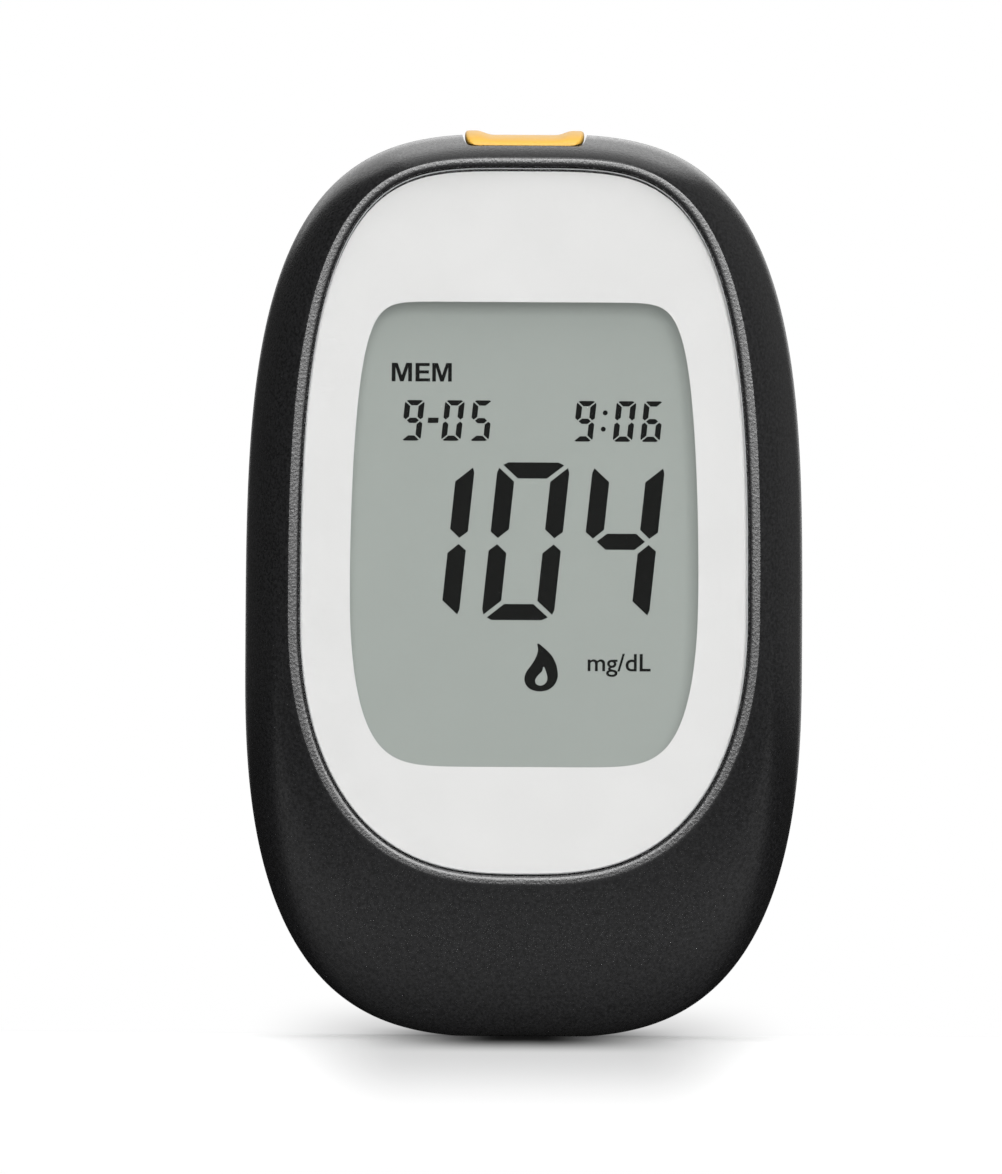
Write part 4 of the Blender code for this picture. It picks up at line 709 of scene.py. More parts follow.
@dataclass(frozen=True)
class Clear(Finish):
    """Clear acrylic: glass that lets lamps through, so that what lies behind it is lit."""

    ior: float = 1.49
    haze: float = 0.01
    smear: float = 9.0

    def dress(self, tree: Tree) -> Values:
        """Glass with faint smears in its gloss."""
        smears = self.noise(tree, self.smear, 2.0)
        wipe = self.between(tree, smears, self.roughness, self.roughness + self.haze)
        return {"Transmission Weight": 1.0, "IOR": self.ior, "Roughness": wipe}

    def surface(self, tree: Tree, shader: Socket) -> Socket:
        """The glass, mixed with clear passage for light rays, as the base class says."""
        path = add_node(tree, "LightPath", {}).outputs
        either = calc(tree, "MAXIMUM", path["Is Shadow Ray"], path["Is Diffuse Ray"])
        passing = add_node(tree, "BsdfTransparent", {}).outputs[0]
        return add_node(tree, "MixShader", {0: either, 1: shader, 2: passing}).outputs[0]


@dataclass(frozen=True)
class Metal(Finish):
    """Bare or plated metal: full metallic, with fine scratches in gloss and relief."""

    scratch: Triple = (0.2, 0.2, 0.2)
    relief: float = 0.002

    def dress(self, tree: Tree) -> Values:
        """Scratches that are as long along each axis as scratch says, in gloss and relief."""
        scale = tuple(1 / (length * MM) for length in self.scratch)
        spread = add_node(tree, "Mapping", {"Scale": scale, "Vector": self.place(tree)}).outputs[0]
        lines = add_node(tree, "TexNoise", {"Scale": 1.0, "Detail": 2.0, "Vector": spread}).outputs["Fac"]
        gloss = self.between(tree, lines, self.roughness - 0.06, self.roughness + 0.08)
        return {"Metallic": 1.0, "Roughness": gloss, "Normal": self.bump(tree, lines, self.relief)}


@dataclass(frozen=True)
class Striped(Finish):
    """Layers that alternate across X, as the carbon-filled and clear rubber of an elastomer strip."""

    other: str = "#3A3A3C"
    pitch: float = 0.36
    relief: float = 0.01

    def dress(self, tree: Tree) -> Values:
        """Bands across X at the pitch; a wave texture of scale 1 has 3.18 bands to the unit."""
        values = {"wave_type": "BANDS", "bands_direction": "X", "Scale": 1 / (self.pitch * MM) / 3.18}
        bands = add_node(tree, "TexWave", {**values, "Vector": self.place(tree)}).outputs["Fac"]
        tint = self.tinted(tree, bands, self.other)
        return {"Base Color": tint, "Normal": self.bump(tree, bands, self.relief)}


@dataclass(frozen=True)
class Laminate(Finish):
    """Glass-epoxy board under green solder mask: square copper runs show through as a paler green."""

    copper: str = "#2F7A4C"
    pitch: float = 1.6
    run: float = 0.12
    relief: float = 0.03

    def dress(self, tree: Tree) -> Values:
        """Runs of copper as the mortar between bricks, raised under the mask."""
        face = add_node(tree, "Mapping", {"Rotation": (QUARTER, 0, 0), "Vector": self.place(tree)})
        values = {"Scale": 1.0, "Mortar Size": self.run * MM, "Vector": face.outputs[0]}
        values |= {"Brick Width": self.pitch * 2.5 * MM, "Row Height": self.pitch / 2 * MM}
        values |= {"Color1": (0, 0, 0, 1), "Color2": (0.25, 0.25, 0.25, 1), "Mortar": (1, 1, 1, 1)}
        runs = add_node(tree, "TexBrick", values).outputs["Color"]
        tint = self.tinted(tree, runs, self.copper)
        return {"Base Color": tint, "Normal": self.bump(tree, runs, self.relief)}


# Black ABS, injection moulded in a spark-eroded mould: the 0.3 mm grain breaks the highlight on the lip
BLACK_ABS = Moulded("abs_black_spark_grain", "#131314", 0.26, 0.6, "#2A2A2B", 0.29, 0.015)
# Black ABS of the keys and the knob, moulded with a finer grain: a little paler and duller than the case
KEY_ABS = Moulded("abs_charcoal_fine_grain", "#2C2C2E", 0.45, 0.5, "#303032", 0.2, 0.008)
# Clear acrylic, moulded with polished faces: a faint reflection and nothing else
ACRYLIC = Clear("acrylic_clear_polished", "#FFFFFF", 0.02, 0.5)
# The same acrylic where its edge was cut: frosted and pale, drawn pale enough to stand also as a painted
# highlight line round the rim
CUT_ACRYLIC = Moulded("acrylic_cut_edge_painted_highlight", "#CFD1D2", 0.35, 0.5, "#D6D8D9", 0.12, 0.003)
# White ink, screen-printed on polyester film: an even, cool white
WHITE_INK = Printed("ink_white_screen_printed", "#E6E6E5", 0.45, 0.2, "#E3E3E2")
# Display glass under its polariser: grey-green and satin, with a painted glow that lightens the shade thrown
# by the window's edge
DISPLAY = Printed("display_polariser_grey_green", "#7F8480", 0.5, 0.1, "#7D827E", "#A8AFAA", 0.43)
# Liquid-crystal segments that are on: they absorb, so nearly black
SEGMENT = Printed("display_segment_on", "#191A19", 0.8, 0.0, "#1B1C1B")
# Yellow ABS, moulded: satin and warm
YELLOW_ABS = Moulded("abs_yellow_satin", "#FFC85A", 0.42, 0.3, "#FBC355", 0.25, 0.004)
# White ABS of the display's frame, moulded: matt
WHITE_ABS = Moulded("abs_white_matt", "#E2E2DC", 0.5, 0.4, "#DADAD3", 0.2, 0.004)
# Natural nylon, moulded: milky and a little waxy
NYLON = Moulded("nylon_natural_moulded", "#DAD7CC", 0.4, 0.5, "#D2CEC0", 0.3, 0.004)
# Black liquid-crystal polymer of sockets and switches, moulded: a slight flow pattern
SOCKET = Moulded("polymer_black_moulded", "#1C1C1E", 0.45, 0.5, "#262628", 0.8, 0.006)
# Black epoxy of the chips, moulded in a shot-blasted mould: dull, with a fine tooth
EPOXY = Moulded("epoxy_black_blasted", "#1B1B1D", 0.55, 0.4, "#222224", 0.08, 0.006)
# Acrylic adhesive film, die-cut: cloudy and clear by turns
ADHESIVE = Moulded("adhesive_acrylic_film", "#D8D8D0", 0.35, 0.5, "#C8C8BE", 2.0, 0.01)
# Elastomer of carbon and clear rubber layers: real layers are 0.05 mm, drawn at 0.36 mm so that they show
ZEBRA = Striped("rubber_layered_strip", "#8A8C92", 0.7, 0.3)
# Glass-epoxy laminate, screened with solder mask: green, with paler runs
BOARD = Laminate("laminate_green_mask", "#1F5A38", 0.4, 0.5)
# Phosphor bronze, stamped and gold plated: warm and bright, with marks along X
GOLD = Metal("bronze_gold_plated", "#D9B35A", 0.28, 0.5, (0.4, 0.1, 0.1))
# Spring steel, rolled and nickel plated: marks run up
STEEL = Metal("steel_nickel_plated", "#B9BBBE", 0.3, 0.5, (0.1, 0.1, 0.8))
# Stainless can of the cell, deep drawn and brushed across: long streaks
CELL_STEEL = Metal("stainless_drawn_can", "#C6C8CA", 0.26, 0.5, (1.6, 0.06, 0.06))
# Zinc-plated steel of the screws, rolled: greyer and duller
ZINC = Metal("steel_zinc_plated", "#8F9194", 0.35, 0.5, (0.08, 0.3, 0.08))
# Polypropylene gasket of the cell, moulded: dark and satin
GASKET = Moulded("polypropylene_gasket", "#3C3D40", 0.5, 0.4, "#434448", 0.2, 0.003)


# Strip port, which the shells are notched for


@dataclass
class StripPort:
    """The yellow funnel in the top end: two ears, a saddle, a flange and a slot."""

    half: float = 5.71
    saddle_half: float = 3.25
    ear_inner: float = 4.35
    lip: float = 84.7
    saddle: float = 85.8
    ear: float = 86.2
    middle: float = -0.18
    depths: Pair = (4.9, 12.9)
    rear: float = 13.7
    foot: float = 76.8
    flange: Pair = (79.4, 81.2)
    slot: Pair = (10.9, 11.9)
    slot_half: float = 3.6
    setback: float = 0.75
    # The funnel's rings: their heights over the saddle, and the share of the flare that each has opened by
    heights: tuple[float, ...] = (-10, -2, -1.2, -0.5, -0.1, 0.2, 1.4)
    shares: tuple[float, ...] = (0, 0, 0.12, 0.42, 0.78, 1.2, 1.4)
    flare: Pair = (0.55, 0.75)

    def mirrored(self, corners: list[Pair], radii: list[float]) -> Array:
        """The outline of some rounded corners and their mirror images."""
        mirror = [(-x, z) for x, z in corners[::-1]]
        return rounded(corners + mirror, radii + radii[::-1]) + (self.middle, 0)

    def outline(self) -> Array:
        """The head from the front, clockwise from the right end of the saddle."""
        corners = [(self.saddle_half, self.saddle), (self.ear_inner, self.ear), (self.half - 0.05, self.ear)]
        return self.mirrored([*corners, (self.half, self.lip)], [0.4, 0.35, 0.42, 0.95])

    def notch(self) -> Obj:
        """The cutter for the shells: it hugs the head's lower corners and leans out at the top."""
        hug = self.half + 0.08
        corners = [(self.half + 1.35, self.ear + 3), (hug, self.saddle - 0.45), (hug, self.lip - 0.06)]
        return slab("cutter", self.mirrored(corners, [0.1, 0.35, 0.98]), (-1, STACK.back + 1))

    def well(self) -> Obj:
        """The cutter for the body under the notch."""
        half, depths = self.half + GAP, (self.depths[0] - GAP, self.rear + GAP)
        return block("cutter", (-half, half), depths, (self.flange[0], self.lip + 0.5))

    def mouth(self) -> Obj:
        """The cutter of the funnel and the slot under it: rings of a rounded rectangle up the port."""
        middle, thick = sum(self.slot) / 2, self.slot[1] - self.slot[0]
        rings = []
        for over, share in zip(self.heights, self.shares):
            half_x, half_y = self.slot_half + self.flare[0] * share, thick / 2 + self.flare[1] * share
            flat = rectangle((-half_x, half_x), (-half_y, half_y), 0.35, 5)
            height = np.full(len(flat), self.saddle + over)
            rings.append(np.column_stack([flat[:, 0], STACK.y(middle) + flat[:, 1], height]))
        return skin("mouth", rings)

    def build(self, front: float) -> Obj:
        """The whole port.

        Formula of the head: at angle a the ring is the outline, its heights over the lip scaled by
        rise = sin(a) ^ 0.8 and its widths by 1 - 0.2 (1 - rise) ^ 2, at the depth of an ellipse with its
        crown over the parting line.

        Args:
            front: the depth at which the notch's floor comes out of the dome.

        Returns:
            The object.
        """
        shape, start = self.outline(), front + self.setback
        rings = []
        for a in np.linspace(0.06, math.pi - 0.06, 33):
            reach = STACK.parting - start if a < QUARTER else self.rear - STACK.parting
            rise = math.sin(a) ** 0.8
            x = self.middle + (shape[:, 0] - self.middle) * (1 - 0.2 * (1 - rise) ** 2)
            z = self.lip + (shape[:, 1] - self.lip) * rise
            rings.append(ring(np.column_stack([x, z]), STACK.parting - reach * math.cos(a)))
        head = skin("strip_port_funnel", rings)
        inner, wing, (near, far) = self.half - 1.1, self.half + 1.6, self.depths
        weld(head, block("body", (-inner, inner), self.depths, (self.foot, self.lip + 0.5), 0.25))
        weld(head, block("flange", (-wing, wing), (near + 1.2, far - 1.2), self.flange, 0.3))
        return settle(carve(head, self.mouth()), YELLOW_ABS, Body.CASE, "strip_port")


# Housing


@dataclass
class FrontShell:
    """The front shell: pocket for the lens, rounded lip, dome, parting edge, tongue and inner wall."""

    pocket_margin: float = 0.15
    lip_width: float = 0.45
    land: float = 0.52
    lip_drop: float = 0.12
    straight: float = 0.35
    crest_radius: float = 0.28
    crest_ways: tuple[float, ...] = (0.0, 0.05, 0.1, 0.15, 0.21, 0.28, 0.36, 0.45, 0.55, 0.65)
    first_turn: float = 0.32
    rim: float = 0.3
    ledge_setback: float = 0.8
    tongue: float = 1.05
    boss_drill: float = 5.2

    @property
    def crest(self) -> Array:
        """The outer edge of the flat land on the lip, which narrows towards both ends."""
        height = (RIM[:, 1] - RIM[:, 1].min()) / np.ptp(RIM[:, 1])
        land = self.land * (1 - 0.5 * np.abs(2 * height - 1) ** 3)
        return offset(RIM, self.pocket_margin + self.lip_width + land)

    def dome(self, share: Number, inset: float = 0.0) -> tuple[Array, Array]:
        """One ring of the dome.

        Formula: the outline lies a share of the way from the crest to the body's outline. Its depth mixes a
        quarter ellipse, 1 - sqrt(1 - share^2), with a straight slope that starts softly at the crest,
        sqrt(r^2 + e^2) - e, where r is the way gone and e the crest's radius.

        Args:
            share: 0 at the crest and 1 at the parting line, alike for the ring or one for each point.
            inset: how far the ring is drawn in, for the inner wall.

        Returns:
            The outline and its depths.
        """
        way, soft = BODY - self.crest, self.crest_radius
        length = np.linalg.norm(way, axis=1)
        slope = (np.hypot(length * share, soft) - soft) / (np.hypot(length, soft) - soft)
        depth = STACK.parting * (self.straight * slope + (1 - self.straight) * (1 - np.sqrt(1 - share**2)))
        return offset(self.crest + way * np.reshape(share, (-1, 1)), -inset), depth

    def depth_at(self, height: float) -> float:
        """The depth at which the dome's top reaches a height."""
        tops = [self.dome(share) for share in np.linspace(0, 1, 200)]
        return float(np.interp(height, [o[0, 1] for o, _ in tops], [d[0] for _, d in tops]))

    def rings(self) -> Array:
        """The section carried round, from the window's edge outwards and back to it inside."""
        window, wall = offset(WINDOW, self.ledge_setback), offset(RIM, self.pocket_margin)
        rings = [ring(window, STACK.ledge), ring(wall, STACK.ledge), ring(wall, self.lip_drop + 0.25)]
        for out, down in fillet(1, 11):
            rings.append(ring(offset(RIM, self.pocket_margin + self.lip_width * out), self.lip_drop * down))
        edge, tip = STACK.parting - GAP / 2, STACK.parting + 1
        length = np.linalg.norm(BODY - self.crest, axis=1)
        rings += [ring(*self.dome(way / length)) for way in self.crest_ways]
        last = math.acos(1 - ((edge - self.rim) / STACK.parting - self.straight) / (1 - self.straight))
        rings += [ring(*self.dome(math.sin(turn))) for turn in np.linspace(self.first_turn, last, 13)]
        rings += [ring(offset(BODY, -inset), edge - down) for inset, down in fillet(self.rim, 3)]
        tongue, inner = offset(BODY, -self.tongue), offset(BODY, -WALL)
        rings += [ring(tongue, edge), ring(tongue, tip), ring(inner, tip)]
        rings += [ring(*self.dome(share, WALL)) for share in (1.0, 0.985, 0.95, 0.9, 0.83, 0.76)]
        return grounded([*rings, ring(window, STACK.cavity)])

    def build(self, port: StripPort, screws: Iterable[Pair]) -> Obj:
        """The finished front shell.

        Args:
            port: the strip port, for its notch.
            screws: where the screw bosses stand.

        Returns:
            The object.
        """
        shell = skin("front_shell", self.rings(), wrap=True)
        carve(shell, port.notch())
        carve(shell, port.well())
        root, tip, drill = STACK.cavity - 1.5, STACK.board - GAP, self.boss_drill
        boss = [(0, root), (2.3, root), (2.3, tip - 0.2), (2.1, tip), (1.25, tip), (1.25, drill), (0, drill)]
        weld(shell, *[turned("boss", x, z, boss, 32) for x, z in screws])
        return settle(shell, BLACK_ABS, Body.CASE, "front_housing")


@dataclass
class RearShell:
    """The rear shell: dome, flat back, battery bay, key dish, ejector track, screw holes and port notch."""

    edge_radius: float = 6.5
    rim: float = 0.3
    pocket_radius: float = 10.3
    track: Pair = (59.5, 72.5)
    track_half: float = 5.5
    track_floor: float = 16.1
    dish: float = 0.5

    def dome(self, turn: float, inset: float = 0.0) -> tuple[Array, float]:
        """One ring of the rear dome.

        Formula: the body's outline drawn in by inset + (edge radius - inset)(1 - cos(turn)), at a depth of
        parting + (reach - inset) sin(turn).

        Args:
            turn: 0 at the parting line and a quarter turn at the flat back.
            inset: the wall's thickness, for the inner surface.

        Returns:
            The outline and its depth.
        """
        drawn_in = inset + (self.edge_radius - inset) * (1 - math.cos(turn))
        reach = STACK.back - STACK.parting - inset
        return offset(BODY, -drawn_in), STACK.parting + reach * math.sin(turn)

    def outside(self) -> Obj:
        """The outer form, solid: the parting edge, the dome and the flat back."""
        edge = STACK.parting + GAP / 2
        rings = [ring(offset(BODY, -inset), edge + down) for inset, down in fillet(self.rim, 3)[::-1]]
        first = math.asin((edge + self.rim - STACK.parting) / (STACK.back - STACK.parting))
        rings += [ring(*self.dome(turn)) for turn in np.linspace(first, QUARTER, 15)[1:]]
        return skin("rear_shell", grounded(rings))

    def hollow(self, screws: Sequence[Pair]) -> Obj:
        """The inside as a cutter, with the battery tub, posts, track pad and spring rib left standing.

        Args:
            screws: where the posts stand.

        Returns:
            The cutter.
        """
        lip, inner, shelf = offset(BODY, -0.75), offset(BODY, -WALL), STACK.parting + 1.3
        rings = [ring(lip, STACK.parting - 1), ring(lip, shelf), ring(inner, shelf)]
        first = math.asin((shelf - STACK.parting) / (STACK.back - STACK.parting - WALL)) * 2
        rings += [ring(*self.dome(turn, WALL)) for turn in np.linspace(first, QUARTER, 8)]
        cavity = skin("hollow", [points[::2] for points in rings])
        margin = GAP + 1.1
        half = PLAN.door_half + margin
        tub = rectangle((-half, half), (PLAN.door[0] - margin, PLAN.door[1] + margin), 5)
        pad = (self.track[0] - 1.2, self.track[1] + 1.2)
        carve(
            cavity,
            slab("tub", tub, (STACK.tub, STACK.back)),
            block("pad", (-6.7, 6.7), (15, STACK.back), pad, 0.3),
            block("rib", (-2, 2), (13.2, STACK.back), (78.6, 79.8), 0.2),
        )
        return carve(cavity, *[turned("post", x, z, rod(2.6, 9.8, STACK.back), 32) for x, z in screws])

    def counterbore(self, x: float, z: float) -> Obj:
        """The cutter of a screw's stepped hole, with a rounded mouth.

        Args:
            x: the screw's place across.
            z: its height.

        Returns:
            The cutter.
        """
        seat = STACK.screw_head - 1.4
        profile = [(0, 9), (1.25, 9), (1.25, seat), (2.05, seat)]
        profile += [(2.05 + out, STACK.back - down) for out, down in fillet(0.25, 4)]
        return turned("bore", x, z, [*profile, (2.3, STACK.back + 1), (0, STACK.back + 1)], 48)

    def key_well(self) -> Obj:
        """The cutter of the main key's hole and of the dish round it, whose depth is a cosine."""
        hole, share = PLAN.key_radius + GAP, np.linspace(0, 1, 9)
        radii = hole + 0.12 + 1.5 * share
        depths = STACK.back - self.dish * (0.5 + 0.5 * np.cos(math.pi * share))
        profile = [(0, 13), (hole, 13), (hole, STACK.back - self.dish - 0.15), *zip(radii, depths)]
        profile += [(radii[-1] + 0.02, STACK.back + 1), (0, STACK.back + 1)]
        return turned("key_well", 0, PLAN.key_z, profile, 96)

    def build(self, port: StripPort, screws: Sequence[Pair]) -> Obj:
        """The finished rear shell.

        Args:
            port: the strip port, for its notch.
            screws: where the screws stand.

        Returns:
            The object.
        """
        shell = carve(self.outside(), self.hollow(screws))
        half, (low, high), set_z = PLAN.door_half + GAP, PLAN.door, PLAN.set_z
        bay = rectangle((-half, half), (low - GAP, high + GAP), PLAN.door_corner + GAP, 12)
        track = rectangle((-self.track_half, self.track_half), self.track, 1.9, 10)
        inner, seat = STACK.door_inner, STACK.door_inner - GAP
        carve(
            shell,
            pocket(bay, seat, STACK.back, 0.2, 0.15),
            pocket(track, self.track_floor, STACK.back, 0.3, 0.2),
            self.key_well(),
            port.notch(),
            *[self.counterbore(x, z) for x, z in screws],
        )
        slots: list[Block] = [
            ("switch_room", (-2.6, 2.6), (9, 13.6), (set_z - 2.6, set_z + 2.6), 0.1),
            ("neck_slot", (-1.8, 1.8), (14, 16.6), (61.5, 70.5), 0.25),
            ("latch_slot", (-2.9, 2.9), (14.4, inner), (37.5, 40.2), 0.1),
            ("hook_slot", (-8.8, -5.2), (14.4, inner), (6.4, 11.3), 0.15),
            ("hook_slot", (5.2, 8.8), (14.4, inner), (6.4, 11.3), 0.15),
        ]
        carve(
            shell,
            pocket(circle(0, PLAN.cell_z, self.pocket_radius, 128), STACK.pocket_floor, seat, 0.2, 0.3),
            pocket(rectangle((-5.5, 5.5), (set_z - 2.9, set_z + 2.9), 1), 14.6, seat, 0.2, 0.3),
            *[block(*slot) for slot in slots],
            nail_scoop(0.9),
            port.well(),
        )
        reach = self.pocket_radius / math.sqrt(2)
        carve(
            shell,
            pocket(circle(-reach, PLAN.cell_z + reach - GAP, 3.7, 48), 13.4, seat, 0.2, 0.3),
            turned("set_hole", 0, set_z, rod(1.9, 12, 15.5), 48),
            block("centre_slot", (-2.3, 2.3), (STACK.board_back, 11.7), (14.9, 26.5), 0.1),
            block("side_slot", (9.7, 11.1), (STACK.board_back, 14.9), (18.4, 23), 0.1),
        )
        return settle(shell, BLACK_ABS, Body.CASE, "rear_housing")


@dataclass
class CaseScrew:
    """A self-tapping screw: rounded head with a cross recess, shank with a helical thread."""

    node: str
    x: float
    z: float
    head_radius: float = 1.75
    head_height: float = 1.1
    arm_half: float = 1.0
    arm_thick: float = 0.23
    core: float = 0.68
    crest: float = 0.94
    pitch: float = 0.7
    length: float = 7.5

    def shank(self, shoulder: float) -> Obj:
        """The threaded shank.

        Formula: radius = core + (crest - core) * (1 - |2 f - 1|) ^ 2, where f is the fraction of
        height / pitch - angle / full turn, so that the ridge climbs as a helix; it narrows to the tip.

        Args:
            shoulder: the depth of the head's underside.

        Returns:
            The object.
        """
        depth = np.linspace(shoulder - self.length, shoulder, 90)[:, None]
        angle = np.linspace(0, 2 * math.pi, 24, endpoint=False)[None, :]
        along = (depth - depth[0]) / self.pitch
        ridge = (1 - np.abs(2 * ((along - angle / (2 * math.pi)) % 1) - 1)) ** 2
        taper = np.clip((depth - depth[0]) / 1.2, 0.15, 1)
        radius = (self.core + (self.crest - self.core) * ridge) * taper
        x, z = self.x + radius * np.cos(angle), self.z + radius * np.sin(angle)
        y = STACK.y(np.broadcast_to(depth, x.shape))
        return skin(self.node + "_turned", np.stack([x, y, z], axis=-1))

    def recess(self, upright: bool) -> Obj:
        """The cutter of one arm of the cross recess, which narrows downwards.

        Args:
            upright: the arm along Z and not the one along X.

        Returns:
            The cutter.
        """
        rings = []
        for share, over in ((0.45, -0.75), (1.0, -0.1), (1.1, 1.0)):
            arm = (self.arm_half * share, self.arm_thick * (0.6 + 0.4 * share))
            half_x, half_z = arm[::-1] if upright else arm
            flat = rectangle((self.x - half_x, self.x + half_x), (self.z - half_z, self.z + half_z), 0.08, 3)
            rings.append(ring(flat, STACK.screw_head + over))
        return skin("arm", rings)

    def build(self) -> Obj:
        """The screw."""
        top, radius = STACK.screw_head, self.head_radius
        shoulder = top - self.head_height
        screw = self.shank(shoulder)
        rim = [(radius - inset, top - down) for inset, down in fillet(0.35, 5)]
        head = [(0, shoulder - 0.05), (radius, shoulder - 0.05), *rim, (0, top)]
        weld(screw, turned("head", self.x, self.z, head, 48))
        for upright in (False, True):
            carve(screw, self.recess(upright))
        return settle(screw, ZINC, Body.CASE, self.node)


# Face and display


@dataclass
class Face:
    """The clear lens over the white print, and the display behind the window."""

    lens_thickness: float = 0.55
    bevel: float = 0.1
    film_thickness: float = 0.25

    def lens(self) -> Obj:
        """The lens: a plate with a cut bevel round its front, in a second finish."""
        front, back = STACK.lens, STACK.lens + self.lens_thickness
        rings = [ring(offset(RIM, -self.bevel), front), ring(RIM, front + self.bevel), ring(RIM, back)]
        lens = settle(skin("clear_lens", rings), ACRYLIC, Body.CASE, "display_lens")
        lens.data.materials.append(CUT_ACRYLIC.material())
        normals = np.empty(len(lens.data.polygons) * 3)
        lens.data.polygons.foreach_get("normal", normals)
        facing = np.abs(normals.reshape(-1, 3)[:, 1])
        lens.data.polygons.foreach_set("material_index", ((facing > 0.1) & (facing < 0.9)).astype(np.int32))
        return lens

    def film(self) -> Obj:
        """The printed film: a flat ring between the print's outline and the window's."""
        front, back = STACK.film, STACK.film + self.film_thickness
        rings = [ring(PRINT, front), ring(WINDOW, front), ring(WINDOW, back), ring(PRINT, back)]
        film = skin("printed_face", rings, wrap=True)
        return settle(film, WHITE_INK, Body.CASE, "face_film")

    def display(self) -> Obj:
        """The display's glass with its edges ground."""
        outline = rectangle((-17.95, 17.95), (23.25, 72.2), 0.6)
        glass = slab("display_panel", outline, (STACK.display, STACK.display_back), 0.12, 0.12)
        return settle(glass, DISPLAY, Body.CASE, "lcd_glass")


class Segment(Enum):
    """The seven segments of a digit."""

    TOP = "top"
    MIDDLE = "middle"
    BOTTOM = "bottom"
    UPPER_LEFT = "upper_left"
    UPPER_RIGHT = "upper_right"
    LOWER_LEFT = "lower_left"
    LOWER_RIGHT = "lower_right"


UNLIT = {
    "0": {Segment.MIDDLE},
    "1": set(Segment) - {Segment.UPPER_RIGHT, Segment.LOWER_RIGHT},
    "4": {Segment.TOP, Segment.BOTTOM, Segment.LOWER_LEFT},
    "5": {Segment.UPPER_RIGHT, Segment.LOWER_LEFT},
    "6": {Segment.UPPER_RIGHT},
    "9": {Segment.LOWER_LEFT},
}


@dataclass(frozen=True)
class Digit:
    """A seven-segment digit: pointed segments with narrow gaps, leaning to the right."""

    width: float
    height: float
    stroke: float
    bar: float
    lean: float = 0.103

    def shapes(self) -> dict[Segment, Array]:
        """Each segment's corners, upright, from the digit's lower left corner.

        Every corner is a share of the stroke: the ends are cut at about 40 degrees, their tips blunted, and
        neighbours stay a quarter of a stroke apart.
        """
        w, h, s, b = self.width, self.height, self.stroke, self.bar
        mid = h / 2
        side = [(0.1 * s, h - 0.3 * s), (0, h - 0.58 * s), (0, mid + 0.52 * s), (0.44 * s, mid + 0.17 * s)]
        side += [(s, mid + 0.66 * s), (s, h - 1.07 * s)]
        top = [(0.3 * s, h - 0.14 * s), (0.58 * s, h), (w - 0.65 * s, h), (w - 0.32 * s, h - 0.16 * s)]
        top += [(w - 1.2 * s, h - b), (1.18 * s, h - b)]
        left, right, thin = 1.19 * s, w - 1.19 * s, b / 2
        middle = [(left, mid + thin), (right, mid + thin), (w - 0.66 * s, mid), (right, mid - thin)]
        middle += [(left, mid - thin), (0.66 * s, mid)]
        upper, bar, down, across = np.array(side), np.array(top), np.array([0, h]), np.array([w, 0])
        return {
            Segment.TOP: bar,
            Segment.BOTTOM: down + bar * (1, -1),
            Segment.MIDDLE: np.array(middle),
            Segment.UPPER_LEFT: upper,
            Segment.LOWER_LEFT: down + upper * (1, -1),
            Segment.UPPER_RIGHT: across + upper * (-1, 1),
            Segment.LOWER_RIGHT: across + down - upper,
        }

    def outlines(self, text: str, x: float, z: float) -> list[Array]:
        """The lit segments of one digit, leaning, with its lower left corner at (x, z)."""
        lean = np.array([(1, 0), (self.lean, 1)])
        return [shape @ lean + (x, z) for part, shape in self.shapes().items() if part not in UNLIT[text]]


